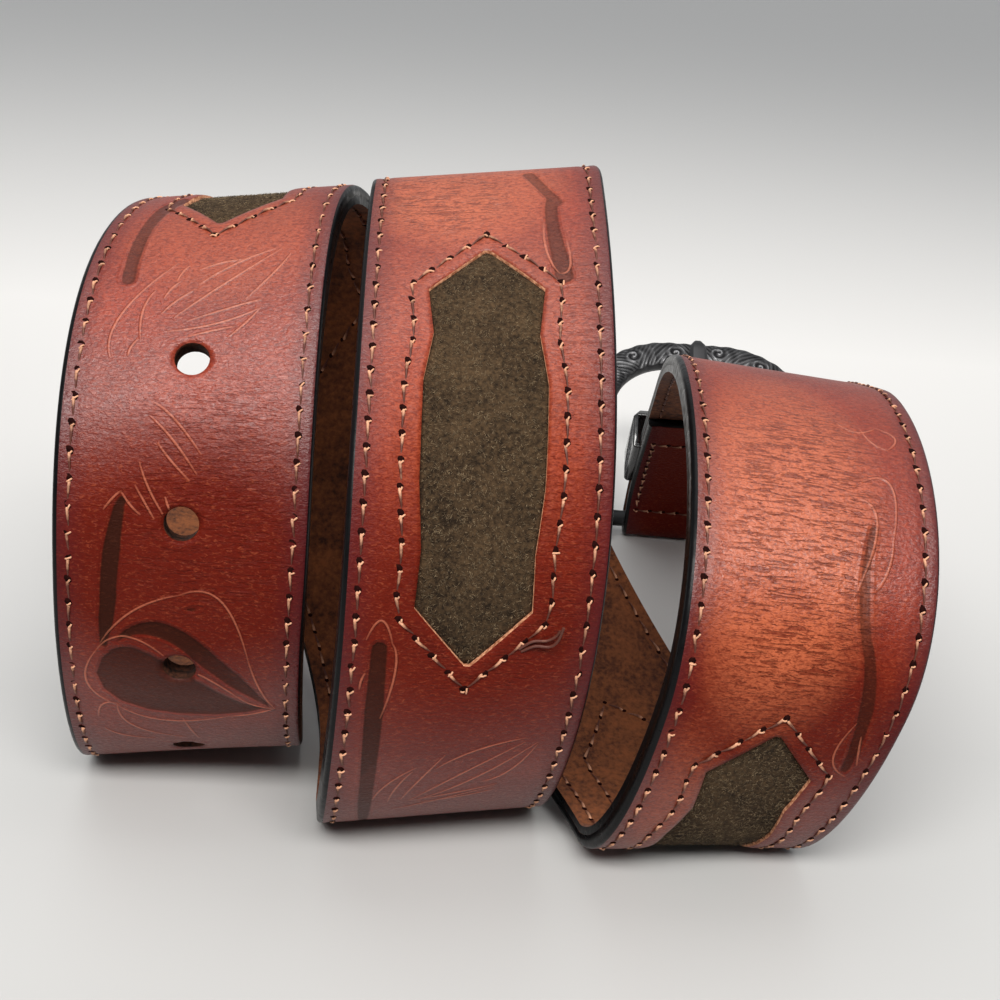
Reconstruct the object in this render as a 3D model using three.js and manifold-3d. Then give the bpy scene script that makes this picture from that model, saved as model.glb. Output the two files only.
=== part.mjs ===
// A western tooled belt, rolled up loosely and lying on its side.
// Units are millimetres and +Z is up. The origin is on the floor, in the middle of the flat where
// the middle loop rests. +X runs across the strap, from the tip's loop to the buckle's loop.
import * as THREE from 'three';
import { mergeVertices } from 'three/addons/utils/BufferGeometryUtils.js';
import Module from 'manifold-3d';

const wasm = await Module();
wasm.setup();

// Strap and its layers
const strapWidth = 38.1;
const faceThick = 1.8;
const liningThick = 1.3;
const layerGap = 0.3;
const stationStep = 3;
const tipPointLength = 22;
const tipPointHalf = 4;

// Rolled shape: the middle loop's height and depth, front to back
const coilHeight = 104;
const coilDepth = 84;

// Punched holes, counted from the tip
const holeCount = 5;
const holePitch = 25.4;
const holeDiameter = 5.3;
const tipToFirstHole = 98.7;

// Inlaid windows
const windowCount = 3;
const windowPitch = 226.7;
const windowLength = 68.5;
const windowWidth = 18.2;
const tipToFirstWindow = 263.5;
const inlayThick = 1;
const inlayGap = 0.3;

// Buckle end of the strap
const barRadius = 2;
const barClearance = 0.3;
const flapLength = 53;
const flapEaseLength = 13;
const slotLength = 14;

// Keeper
const keeperWidth = 18;
const keeperFromBar = 16.5;
const keeperThick = 1.2;
const keeperPlateThick = 1.4;
const keeperTipSpace = 5;
const keeperSideGap = 0.5;
const keeperStripGap = 0.35;
const keeperCorner = 1.5;

// Buckle frame and prong
const buckleRise = 35;
const buckleLength = 57.5;
const buckleWidth = 63;
const buckleCorner = 20;
const buckleThick = 4.4;
const armWidth = 9.6;
const farBarWidth = 7.5;
const armTail = 4;
const prongWidth = 4.8;
const prongThick = 3.2;
const prongRingWall = 1.5;
const prongTipSetback = 1.2;
const prongSeatGap = 0.3;

const halfStrap = strapWidth / 2;
const foldInner = barRadius + barClearance;
const foldOuter = foldInner + faceThick;
const liningTop = faceThick + layerGap;
const liningBottom = liningTop + liningThick;
const flapInner = liningBottom + layerGap;
const flapOuter = flapInner + faceThick;
const liningStop = keeperFromBar + keeperWidth + 2 * layerGap;
const keeperStripTop = faceThick + keeperStripGap;

const radians = THREE.MathUtils.degToRad;

// The rolled strap's centre line on the grain side, from the tip to the buckle's bar.
// across is a share of the strap's width, depth and height are shares of the coil's. heading is
// the direction of travel in degrees, seen from the side: 0 runs back, 90 runs up. yaw swings
// the strap's width about the vertical and roll tilts it.
const endHeading = -778;
const foldSeat = foldOuter * (1 + Math.cos(radians(endHeading))) + 0.1;
const routeRows = [
  { name: 'tip', across: -1.738, depth: 1.246, height: 0.091, heading: 200, yaw: 14, roll: 0 },
  { name: 'tip lies flat', across: -1.449, depth: 0.735, height: 0.006, heading: 180, yaw: 14, roll: 0 },
  { name: 'first bottom', across: -1.08, depth: 0.058, height: 0.027, heading: 180, yaw: 9.5, roll: 6.5 },
  { name: 'first front', across: -0.966, depth: -0.327, height: 0.425, heading: 93, yaw: 4.1, roll: -15.3 },
  { name: 'first top', across: -0.935, depth: 0.425, height: 0.915, heading: -18.3, yaw: -5.6, roll: 8.2 },
  { name: 'first back', across: -0.751, depth: 0.606, height: 0.638, heading: -97.5, yaw: 6, roll: -6.4 },
  { name: 'flat begins', across: 0.008, depth: 0.065, height: 0, heading: -180, yaw: 14.9, roll: 0 },
  { name: 'flat ends', across: 0.04, depth: -0.065, height: 0, heading: -180, yaw: 14.9, roll: 0 },
  { name: 'middle front', across: 0.215, depth: -0.467, height: 0.487, heading: -270.2, yaw: 9.2, roll: 1.3 },
  { name: 'middle top', across: 0.125, depth: 0.18, height: 1, heading: -346.6, yaw: 7.2, roll: 7.1 },
  { name: 'middle back', across: 0.047, depth: 0.533, height: 0.549, heading: -459.6, yaw: 15.4, roll: -1.6 },
  { name: 'last bottom', across: 1.202, depth: -0.201, height: 0.016, heading: -540, yaw: 14, roll: -5 },
  { name: 'last front', across: 1.462, depth: -0.432, height: 0.363, heading: -623.4, yaw: 9, roll: -0.8 },
  { name: 'last top', across: 1.533, depth: 0.244, height: 0.709, heading: -734.1, yaw: 3.4, roll: -6.6 },
  { name: 'slope', across: 1.609, depth: 0.885, height: 0.519, heading: -754.9, yaw: 2, roll: -2 },
  { name: 'bar', across: 1.609, depth: 1.44, height: foldSeat / coilHeight, heading: endHeading, yaw: 0, roll: 0 },
];

// A window's half width along its length, as shares of its length and half width
const windowRows = [
  { along: -0.5, half: 0.05 },
  { along: -0.365, half: 0.94 },
  { along: -0.24, half: 0.9 },
  { along: -0.1, half: 0.99 },
  { along: 0.02, half: 1 },
  { along: 0.13, half: 1 },
  { along: 0.25, half: 0.86 },
  { along: 0.375, half: 0.96 },
  { along: 0.5, half: 0.05 },
];

// Value at a place between table rows, read along straight lines
function between(rows, key, value, at) {
  const last = rows.length - 1;
  let i = 0;
  while (i < last - 1 && at > rows[i + 1][key]) i += 1;
  const share = (at - rows[i][key]) / (rows[i + 1][key] - rows[i][key]);
  return THREE.MathUtils.lerp(rows[i][value], rows[i + 1][value], THREE.MathUtils.clamp(share, 0, 1));
}

// Value at a distance along the route, on a smooth curve through the rows
function smoothAlong(knots, values, at) {
  const last = knots.length - 1;
  const slopes = values.map((value, i) => {
    if (i === 0) return (values[1] - values[0]) / (knots[1] - knots[0]);
    if (i === last) return (values[last] - values[last - 1]) / (knots[last] - knots[last - 1]);
    const before = knots[i] - knots[i - 1];
    const after = knots[i + 1] - knots[i];
    const slopeBefore = (value - values[i - 1]) / before;
    const slopeAfter = (values[i + 1] - value) / after;
    return (slopeBefore * after + slopeAfter * before) / (before + after);
  });
  let i = 0;
  while (i < last - 1 && at > knots[i + 1]) i += 1;
  const span = knots[i + 1] - knots[i];
  const t = (at - knots[i]) / span;
  const start = (2 * t ** 3 - 3 * t ** 2 + 1) * values[i];
  const startSlope = (t ** 3 - 2 * t ** 2 + t) * span * slopes[i];
  const end = (-2 * t ** 3 + 3 * t ** 2) * values[i + 1];
  const endSlope = (t ** 3 - t ** 2) * span * slopes[i + 1];
  return start + startSlope + end + endSlope;
}

// One stretch of the route seen from the side: a curve that leaves and arrives along its headings
function sideCurve(from, to) {
  const start = new THREE.Vector2(from.depth * coilDepth, from.height * coilHeight);
  const end = new THREE.Vector2(to.depth * coilDepth, to.height * coilHeight);
  const leave = new THREE.Vector2(Math.cos(radians(from.heading)), Math.sin(radians(from.heading)));
  const arrive = new THREE.Vector2(Math.cos(radians(to.heading)), Math.sin(radians(to.heading)));
  const chord = end.clone().sub(start);
  const turn = Math.abs(radians(to.heading - from.heading));
  const cross = leave.cross(arrive);
  let leaveReach = chord.length() / 2;
  let arriveReach = leaveReach;
  let handle = 2 / 3;
  if (Math.abs(cross) > 0.05) {
    leaveReach = chord.cross(arrive) / cross;
    arriveReach = leave.cross(chord) / cross;
    handle = (4 / 3) * Math.tan(turn / 4) / Math.tan(turn / 2);
  }
  const leavePoint = start.clone().addScaledVector(leave, leaveReach * handle);
  const arrivePoint = end.clone().addScaledVector(arrive, -arriveReach * handle);
  return new THREE.CubicBezierCurve(start, leavePoint, arrivePoint, end);
}

// The whole route, sampled finely: centre point, width direction and outward normal at each place
function buildRoute() {
  const samplesPerRow = 40;
  const side = [];
  for (let i = 0; i < routeRows.length - 1; i += 1) {
    const points = sideCurve(routeRows[i], routeRows[i + 1]).getPoints(samplesPerRow);
    side.push(...(i === 0 ? points : points.slice(1)));
  }
  const sideLength = [0];
  for (let i = 1; i < side.length; i += 1) {
    sideLength.push(sideLength[i - 1] + side[i].distanceTo(side[i - 1]));
  }
  const knots = routeRows.map((row, i) => sideLength[i * samplesPerRow]);
  const column = (key, size) => routeRows.map((row) => row[key] * size);
  const across = column('across', strapWidth);
  const yaw = column('yaw', 1);
  const roll = column('roll', 1);
  const points = side.map((p, i) => new THREE.Vector3(smoothAlong(knots, across, sideLength[i]), p.x, p.y));
  const length = [0];
  for (let i = 1; i < points.length; i += 1) length.push(length[i - 1] + points[i].distanceTo(points[i - 1]));
  return points.map((point, i) => {
    const next = points[Math.min(i + 1, points.length - 1)];
    const previous = points[Math.max(i - 1, 0)];
    const along = next.clone().sub(previous).normalize();
    const turn = radians(smoothAlong(knots, yaw, sideLength[i]));
    const tilt = radians(smoothAlong(knots, roll, sideLength[i]));
    const width = new THREE.Vector3(Math.cos(turn), Math.sin(turn), Math.tan(tilt));
    width.addScaledVector(along, -width.dot(along)).normalize();
    return { at: length[i], point, width, normal: width.clone().cross(along) };
  });
}

const route = buildRoute();
const routeLength = route[route.length - 1].at;

// Station at a distance from the tip
function stationAt(at) {
  let i = 0;
  while (i < route.length - 2 && at > route[i + 1].at) i += 1;
  const share = THREE.MathUtils.clamp((at - route[i].at) / (route[i + 1].at - route[i].at), 0, 1);
  const point = route[i].point.clone().lerp(route[i + 1].point, share);
  const width = route[i].width.clone().lerp(route[i + 1].width, share).normalize();
  const normal = route[i].normal.clone().lerp(route[i + 1].normal, share).normalize();
  return { at, point, width, normal, along: normal.clone().cross(width) };
}

// Distances from one end of a stretch to the other, in even steps
function evenly(from, to, step) {
  const count = Math.max(1, Math.round(Math.abs(to - from) / step));
  return Array.from({ length: count + 1 }, (unused, i) => from + (to - from) * i / count);
}

function stations(from, to, step = stationStep) {
  return evenly(from, to, step).map(stationAt);
}

// A closed body through rings of points, one ring for each station. The far half of each ring
// splits its quads the other way, so that two layers that twist together keep their gap.
function bodyThrough(rings) {
  const size = rings[0].length;
  const positions = rings.flat().flatMap((p) => [p.x, p.y, p.z]);
  const index = [];
  for (let i = 0; i < rings.length - 1; i += 1) {
    for (let j = 0; j < size; j += 1) {
      const a = i * size + j;
      const b = i * size + (j + 1) % size;
      if (j < size / 2) index.push(a, b, a + size, b, b + size, a + size);
      else index.push(a, b, b + size, a, b + size, a + size);
    }
  }
  const lastRing = (rings.length - 1) * size;
  for (let j = 1; j < size - 1; j += 1) {
    index.push(0, j + 1, j);
    index.push(lastRing, lastRing + j, lastRing + j + 1);
  }
  const geometry = new THREE.BufferGeometry();
  geometry.setAttribute('position', new THREE.Float32BufferAttribute(positions, 3));
  geometry.setIndex(index);
  return turnedOut(geometry);
}

// Swaps the triangles' direction when they face into the body
function turnedOut(geometry) {
  const position = geometry.attributes.position;
  const index = geometry.index.array;
  const [a, b, c] = [new THREE.Vector3(), new THREE.Vector3(), new THREE.Vector3()];
  let volume = 0;
  for (let i = 0; i < index.length; i += 3) {
    a.fromBufferAttribute(position, index[i]);
    b.fromBufferAttribute(position, index[i + 1]);
    c.fromBufferAttribute(position, index[i + 2]);
    volume += a.dot(b.cross(c));
  }
  if (volume < 0) {
    for (let i = 0; i < index.length; i += 3) {
      [index[i + 1], index[i + 2]] = [index[i + 2], index[i + 1]];
    }
  }
  return geometry;
}

// A closed body with the same kind of section at each station. section gives points as
// [across the width, along the normal].
function loft(places, section) {
  return bodyThrough(places.map((place) => section(place).map(([across, out]) => (
    place.point.clone().addScaledVector(place.width, across).addScaledVector(place.normal, out)))));
}

function rectangle(low, high, bottom, top) {
  return [[low, bottom], [high, bottom], [high, top], [low, top]];
}

// A rectangle with its corners cut off
function cutRectangle(halfWidth, bottom, top, cut) {
  return [
    [-halfWidth + cut, bottom], [halfWidth - cut, bottom], [halfWidth, bottom + cut], [halfWidth, top - cut],
    [halfWidth - cut, top], [-halfWidth + cut, top], [-halfWidth, top - cut], [-halfWidth, bottom + cut],
  ];
}

function circle(radius, sides) {
  return Array.from({ length: sides }, (unused, i) => {
    const angle = 2 * Math.PI * i / sides;
    return [radius * Math.cos(angle), radius * Math.sin(angle)];
  });
}

function solid(geometry) {
  const bare = geometry.clone();
  bare.deleteAttribute('normal');
  bare.deleteAttribute('uv');
  const merged = mergeVertices(bare, 1e-4);
  return new wasm.Manifold(new wasm.Mesh({
    numProp: 3,
    vertProperties: new Float32Array(merged.attributes.position.array),
    triVerts: new Uint32Array(merged.index.array),
  }));
}

function geometryOf(body) {
  const mesh = body.getMesh();
  const geometry = new THREE.BufferGeometry();
  geometry.setAttribute('position', new THREE.BufferAttribute(new Float32Array(mesh.vertProperties), 3));
  geometry.setIndex(new THREE.BufferAttribute(new Uint32Array(mesh.triVerts), 1));
  return geometry;
}

function cutFrom(geometry, cutters) {
  return geometryOf(cutters.reduce((body, cutter) => body.subtract(solid(cutter)), solid(geometry)));
}

function joined(geometries) {
  return geometryOf(geometries.map(solid).reduce((body, other) => body.add(other)));
}

// Half of the strap's width at a distance from the tip, which narrows to a blunt rounded point
function halfWidthAt(at) {
  if (at >= tipPointLength) return halfStrap;
  const share = 1 - at / tipPointLength;
  return tipPointHalf + (halfStrap - tipPointHalf) * Math.sqrt(1 - share ** 2);
}

// Distances from the tip at which every layer has a station, so that layers bend alike
function sharedPlaces(from, to) {
  const first = Math.ceil((from + 0.5) / stationStep);
  const last = Math.floor((to - 0.5) / stationStep);
  return Array.from({ length: Math.max(0, last - first + 1) }, (unused, i) => (first + i) * stationStep);
}

// Stations for the strap, closer together where the tip narrows
function strapStations(to) {
  const tipSteps = 8;
  const point = evenly(0, tipPointLength, tipPointLength / tipSteps);
  return [...point, ...sharedPlaces(tipPointLength, to), to].map(stationAt);
}

// The grain layer's stations after the bar: round the fold, then back along the inside as the flap
function foldStations() {
  const end = stationAt(routeLength);
  const centre = end.point.clone().addScaledVector(end.normal, -foldOuter);
  const foldSteps = 10;
  const fold = [];
  for (let i = 1; i <= foldSteps; i += 1) {
    const angle = Math.PI * i / foldSteps;
    const normal = end.normal.clone().multiplyScalar(Math.cos(angle)).addScaledVector(end.along, Math.sin(angle));
    fold.push({ point: centre.clone().addScaledVector(normal, foldOuter), width: end.width, normal });
  }
  const flapStep = 3;
  const flap = evenly(0, flapLength, flapStep).slice(1).map((back) => {
    const place = stationAt(routeLength - back);
    const ease = THREE.MathUtils.smoothstep(back, 0, flapEaseLength);
    const depth = THREE.MathUtils.lerp(2 * foldOuter, flapOuter, ease);
    const point = place.point.clone().addScaledVector(place.normal, -depth);
    return { point, width: place.width, normal: place.normal.clone().negate(), back };
  });
  return { fold, flap };
}

// Half of a window's width at a distance from its middle, less a margin
function windowHalfAt(fromMiddle, margin) {
  return between(windowRows, 'along', 'half', fromMiddle / windowLength) * windowWidth / 2 - margin;
}

function windowMiddle(index) {
  return tipToFirstWindow + index * windowPitch;
}

// A body with a window's outline, less a margin, between two depths in the strap
function windowBody(index, margin, bottom, top) {
  const middle = windowMiddle(index);
  const endMargin = 2.5 * margin;
  const reach = windowLength / 2 - endMargin;
  const corners = windowRows.map((row) => THREE.MathUtils.clamp(row.along * windowLength, -reach, reach));
  const shared = sharedPlaces(middle - reach, middle + reach).map((at) => at - middle);
  const clear = shared.filter((place) => corners.every((corner) => Math.abs(place - corner) > 0.4));
  const places = [...corners, ...clear].sort((a, b) => a - b);
  return loft(places.map((place) => ({ ...stationAt(middle + place), fromMiddle: place })), (place) => {
    const half = windowHalfAt(place.fromMiddle, margin);
    return rectangle(-half, half, bottom, top);
  });
}

// A round plug through the strap at a distance from the tip
function holeCutter(at) {
  const sides = 14;
  const place = stationAt(at);
  const ends = [1, -(liningBottom + 1)].map((out) => ({
    point: place.point.clone().addScaledVector(place.normal, out),
    width: place.width,
    normal: place.along,
  }));
  return loft(ends, () => circle(holeDiameter / 2, sides));
}

function holeCutters() {
  return Array.from({ length: holeCount }, (unused, i) => holeCutter(tipToFirstHole + i * holePitch));
}

// The slot that the prong's ring swings in: up the strap, round the fold and down the flap
function slotCutter() {
  const half = prongWidth / 2 + keeperSideGap;
  const { fold, flap } = foldStations();
  const places = [
    ...stations(routeLength - slotLength, routeLength, stationStep / 2),
    ...fold,
    ...flap.filter((place) => place.back <= slotLength),
  ];
  return loft(places, () => rectangle(-half, half, -faceThick - 1, 1));
}

// Grain leather: the tooled outer layer with its windows, holes, fold and flap
function strapFace() {
  const { fold, flap } = foldStations();
  const strap = strapStations(routeLength);
  const body = loft([...strap, ...fold, ...flap], (place) => {
    const half = place.at === undefined ? halfStrap : halfWidthAt(place.at);
    return rectangle(-half, half, -faceThick, 0);
  });
  const windows = Array.from({ length: windowCount }, (unused, i) => windowBody(i, 0, -faceThick - 1, 1));
  return cutFrom(body, [...windows, ...holeCutters(), slotCutter()]);
}

// Suede lining: the inner layer, which ends under the flap
function strapLining() {
  const body = loft(strapStations(routeLength - liningStop), (place) => {
    const half = halfWidthAt(place.at);
    return rectangle(-half, half, -liningBottom, -liningTop);
  });
  return cutFrom(body, holeCutters());
}

// Suede panel that lies in a window, a little below the grain
function inlayPanel(index) {
  return windowBody(index, inlayGap, -faceThick, inlayThick - faceThick);
}

// Metal loop round the strap. Its inner strip passes between the strap and the flap, and its
// outer plate leaves room for the belt's tip.
function keeper() {
  const from = routeLength - keeperFromBar - keeperWidth;
  const to = routeLength - keeperFromBar;
  const step = keeperWidth / 4;
  const innerHalf = halfStrap + keeperSideGap;
  const outerHalf = innerHalf + keeperThick;
  const stripBottom = keeperStripTop + keeperThick;
  const plateTop = keeperTipSpace + keeperPlateThick;
  const cornerHalf = keeperThick / 2;
  const outer = loft(stations(from, to, step), () => [
    [-outerHalf + cornerHalf, -stripBottom], [outerHalf - cornerHalf, -stripBottom],
    [outerHalf, -stripBottom + cornerHalf], [outerHalf, plateTop - keeperCorner],
    [outerHalf - keeperCorner, plateTop], [-outerHalf + keeperCorner, plateTop],
    [-outerHalf, plateTop - keeperCorner], [-outerHalf, -stripBottom + cornerHalf],
  ]);
  const inner = loft(stations(from - step, to + step, step), () => (
    rectangle(-innerHalf, innerHalf, -keeperStripTop, keeperTipSpace)));
  return cutFrom(outer, [inner]);
}

// The buckle's own directions at its bar: across, out to its far end, and out of its face
function buckleAxes() {
  const end = stationAt(routeLength);
  const rise = radians(buckleRise);
  const across = end.width.clone();
  const back = new THREE.Vector3(0, 0, 1).cross(across).normalize();
  const out = back.multiplyScalar(Math.cos(rise)).addScaledVector(new THREE.Vector3(0, 0, 1), Math.sin(rise));
  return {
    centre: end.point.clone().addScaledVector(end.normal, -foldOuter),
    across,
    out,
    face: across.clone().cross(out),
  };
}

function placeOn(axes, across, out, face) {
  return axes.centre.clone().addScaledVector(axes.across, across)
    .addScaledVector(axes.out, out).addScaledVector(axes.face, face);
}

// A round body along the bar, centred on it
function roundOnBar(axes, radius, length, sides) {
  const ends = [-length / 2, length / 2].map((across) => ({
    point: placeOn(axes, across, 0, 0),
    width: axes.out,
    normal: axes.face,
  }));
  return loft(ends, () => circle(radius, sides));
}

// The frame's centre line in its own plane, from one arm's tail round the far end to the other's
function frameLine() {
  const side = (buckleWidth - armWidth) / 2;
  const far = buckleLength - farBarWidth / 2;
  const cornerSteps = 8;
  const armPlaces = evenly(-armTail, far - buckleCorner, far / 5).slice(0, -1);
  const right = armPlaces.map((out) => ({ across: side, out, sideways: 1, onward: 0 }));
  for (let i = 0; i <= cornerSteps; i += 1) {
    const angle = (Math.PI / 2) * i / cornerSteps;
    right.push({
      across: side - buckleCorner + buckleCorner * Math.cos(angle),
      out: far - buckleCorner + buckleCorner * Math.sin(angle),
      sideways: Math.cos(angle),
      onward: Math.sin(angle),
    });
  }
  const left = right.map((place) => ({ ...place, across: -place.across, sideways: -place.sideways })).reverse();
  return [...right, ...left];
}

// Western buckle frame: a domed C with a plain round bar across its open end
function buckleFrame() {
  const axes = buckleAxes();
  const frame = loft(frameLine().map((place) => ({
    point: placeOn(axes, place.across, place.out, 0),
    width: axes.across.clone().multiplyScalar(place.sideways).addScaledVector(axes.out, place.onward),
    normal: axes.face,
    onward: place.onward,
  })), (place) => {
    const half = THREE.MathUtils.lerp(armWidth, farBarWidth, place.onward) / 2;
    const top = buckleThick / 2;
    return [
      [-half, -top], [half, -top], [half, -top / 4], [half * 0.8, top / 2],
      [half * 0.4, top], [-half * 0.4, top], [-half * 0.8, top / 2], [-half, -top / 4],
    ];
  });
  const barSides = 16;
  return joined([frame, roundOnBar(axes, barRadius, buckleWidth - armWidth, barSides)]);
}

// Prong: a ring on the bar and a tongue that lies on the frame's far end
function prong() {
  const axes = buckleAxes();
  const ringSides = 20;
  const ringOuter = foldInner + prongRingWall;
  const tip = buckleLength - prongTipSetback;
  const seat = buckleThick / 2 + prongSeatGap;
  const rows = [
    { out: 0.04, rise: 0.32, thick: 0.9, wide: 0.9 },
    { out: 0.2, rise: 0.55, thick: 1, wide: 1 },
    { out: 0.5, rise: 0.85, thick: 1, wide: 1 },
    { out: 0.78, rise: 1, thick: 1, wide: 0.98 },
    { out: 0.93, rise: 1, thick: 0.95, wide: 0.96 },
    { out: 0.97, rise: 1, thick: 0.85, wide: 0.8 },
    { out: 1, rise: 1, thick: 0.55, wide: 0.4 },
  ];
  const tongue = loft(rows.map((row) => {
    const bottom = seat * row.rise - (1 - row.rise) * prongThick / 2;
    return {
      point: placeOn(axes, 0, row.out * tip, bottom),
      width: axes.across,
      normal: axes.face,
      row,
    };
  }), ({ row }) => {
    const half = row.wide * prongWidth / 2;
    return cutRectangle(half, 0, row.thick * prongThick, Math.min(half, row.thick * prongThick) * 0.35);
  });
  const body = joined([roundOnBar(axes, ringOuter, prongWidth, ringSides), tongue]);
  return cutFrom(body, [roundOnBar(axes, foldInner, 2 * prongWidth, ringSides)]);
}

// Materials
const grainLeather = new THREE.MeshStandardMaterial({ color: '#8c3320', roughness: 0.45, metalness: 0 });
const liningSuede = new THREE.MeshStandardMaterial({ color: '#6b3413', roughness: 0.95, metalness: 0 });
const inlaySuede = new THREE.MeshStandardMaterial({ color: '#463a28', roughness: 1, metalness: 0 });
const darkPewter = new THREE.MeshStandardMaterial({ color: '#4d4d4f', roughness: 0.4, metalness: 0.9 });
const blackMetal = new THREE.MeshStandardMaterial({ color: '#0b0b0c', roughness: 0.15, metalness: 0.6 });

function namedMesh(name, geometry, material) {
  geometry.computeVertexNormals();
  const mesh = new THREE.Mesh(geometry, material);
  mesh.name = name;
  return mesh;
}

const belt = new THREE.Group();
belt.add(namedMesh('strap_face', strapFace(), grainLeather));
belt.add(namedMesh('strap_lining', strapLining(), liningSuede));
for (let i = 0; i < windowCount; i += 1) {
  belt.add(namedMesh(`inlay_panel_${i + 1}`, inlayPanel(i), inlaySuede));
}
belt.add(namedMesh('keeper', keeper(), blackMetal));
belt.add(namedMesh('buckle_frame', buckleFrame(), darkPewter));
belt.add(namedMesh('prong', prong(), darkPewter));

export default belt;
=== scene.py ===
import math

import bmesh
import bpy
import numpy as np
from mathutils import Euler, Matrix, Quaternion, Vector


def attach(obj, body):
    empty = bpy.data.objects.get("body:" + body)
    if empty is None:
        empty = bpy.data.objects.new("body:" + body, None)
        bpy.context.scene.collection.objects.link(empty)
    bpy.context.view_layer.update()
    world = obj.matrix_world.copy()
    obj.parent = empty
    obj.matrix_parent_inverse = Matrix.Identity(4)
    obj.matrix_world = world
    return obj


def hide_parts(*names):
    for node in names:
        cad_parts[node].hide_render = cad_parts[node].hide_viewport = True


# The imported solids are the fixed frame, in metres, with +Z up.
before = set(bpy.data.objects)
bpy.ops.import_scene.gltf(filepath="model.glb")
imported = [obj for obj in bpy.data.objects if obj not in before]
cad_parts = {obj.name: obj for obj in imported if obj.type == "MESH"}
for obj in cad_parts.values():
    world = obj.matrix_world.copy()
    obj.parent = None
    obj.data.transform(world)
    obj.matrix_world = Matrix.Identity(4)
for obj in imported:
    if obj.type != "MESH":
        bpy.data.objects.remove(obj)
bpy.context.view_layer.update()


# Camera. It stands in front of the three loops, a little above them, and is held slightly askew.
camera_place = (0.0108, -0.2283, 0.1464)
camera_pitch = 22.0
camera_lean = 4.25
camera_lens = 53.1

camera_data = bpy.data.cameras.new("camera")
camera_data.lens = camera_lens
camera_data.clip_start = 0.01
camera = bpy.data.objects.new("camera", camera_data)
bpy.context.scene.collection.objects.link(camera)
camera.location = camera_place
camera.rotation_mode = "QUATERNION"
level = Euler((math.radians(90.0 - camera_pitch), 0.0, 0.0)).to_quaternion()
camera.rotation_quaternion = level @ Quaternion((0.0, 0.0, 1.0), math.radians(camera_lean))
bpy.context.scene.camera = camera
bpy.context.scene.view_settings.view_transform = "Standard"


# Floor. A plain white table top, coloured with painted shade: grey near the belt and darker still towards the
# camera.
floor_reach = 4.0
floor_front_shade = (0.30, 0.30, 0.295, 1.0)
floor_near_shade = (0.50, 0.50, 0.495, 1.0)
floor_far = (0.93, 0.915, 0.895, 1.0)


def node(tree, kind, inputs=None, **settings):
    made = tree.nodes.new(kind)
    for key, value in settings.items():
        setattr(made, key, value)
    for key, value in (inputs or {}).items():
        if isinstance(value, bpy.types.NodeSocket):
            tree.links.new(value, made.inputs[key])
        else:
            made.inputs[key].default_value = value
    return made


def new_material(name, **sockets):
    material = bpy.data.materials.new(name)
    material.use_nodes = True
    shader = material.node_tree.nodes["Principled BSDF"]
    for key, value in sockets.items():
        shader.inputs[key.replace("_", " ")].default_value = value
    return material, material.node_tree, shader


def mixed(tree, share, first, second, blend="MIX"):
    made = node(tree, "ShaderNodeMix", {0: share, 6: first, 7: second}, data_type="RGBA", blend_type=blend)
    return made.outputs[2]


def ranged(tree, value, low, high, to_low=0.0, to_high=1.0):
    inputs = {0: value, 1: low, 2: high, 3: to_low, 4: to_high}
    return node(tree, "ShaderNodeMapRange", inputs).outputs[0]


def maths(tree, operation, first, second=0.0):
    return node(tree, "ShaderNodeMath", {0: first, 1: second}, operation=operation).outputs[0]


def noise(tree, place, scale, **settings):
    inputs = {"Vector": place, "Scale": scale}
    inputs.update((key.capitalize(), value) for key, value in settings.items())
    return node(tree, "ShaderNodeTexNoise", inputs).outputs[0]


def bumped(tree, shader, strength, distance, height):
    bump = node(tree, "ShaderNodeBump", {"Strength": strength, "Distance": distance, "Height": height})
    tree.links.new(bump.outputs[0], shader.inputs["Normal"])


floor_mesh = bpy.data.meshes.new("floor")
corners = [(-floor_reach, -floor_reach, 0.0), (floor_reach, -floor_reach, 0.0)]
corners += [(floor_reach, floor_reach, 0.0), (-floor_reach, floor_reach, 0.0)]
floor_mesh.from_pydata(corners, [], [(0, 1, 2, 3)])
floor = bpy.data.objects.new("floor", floor_mesh)
bpy.context.scene.collection.objects.link(floor)
floor_material, tree, shader = new_material("white_table_top", Roughness=0.45)
split = node(tree, "ShaderNodeSeparateXYZ", {0: node(tree, "ShaderNodeTexCoord").outputs["Object"]})
# Painted shade: the table's white turns grey in front of the belt and darker towards the camera.
near_share = ranged(tree, split.outputs[1], -0.22, -0.03)
far_share = ranged(tree, split.outputs[1], 0.02, 0.30)
colour = mixed(tree, far_share, mixed(tree, near_share, floor_front_shade, floor_near_shade), floor_far)
tree.links.new(colour, shader.inputs["Base Color"])
floor_mesh.materials.append(floor_material)


# Light. A wide soft box overhead, a smaller one high in front, and a room that is bright above and
# behind and dark on the camera's side.
room_tint = (0.96, 0.98, 1.0, 1.0)
room_overhead = 0.42
room_front = 0.02
room_behind = 0.55

world = bpy.data.worlds.new("room")
bpy.context.scene.world = world
world.use_nodes = True
tree = world.node_tree
looking = node(tree, "ShaderNodeSeparateXYZ", {0: node(tree, "ShaderNodeTexCoord").outputs["Generated"]})
upward_share = ranged(tree, looking.outputs[2], 0.30, 0.85)
behind_share = ranged(tree, looking.outputs[1], -0.3, 0.6)
low_room = ranged(tree, behind_share, 0.0, 1.0, room_front, room_behind)
high_part = maths(tree, "MULTIPLY", upward_share, room_overhead)
low_part = maths(tree, "MULTIPLY", maths(tree, "SUBTRACT", 1.0, upward_share), low_room)
tree.links.new(maths(tree, "ADD", high_part, low_part), tree.nodes["Background"].inputs["Strength"])
tree.nodes["Background"].inputs["Color"].default_value = room_tint


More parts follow.
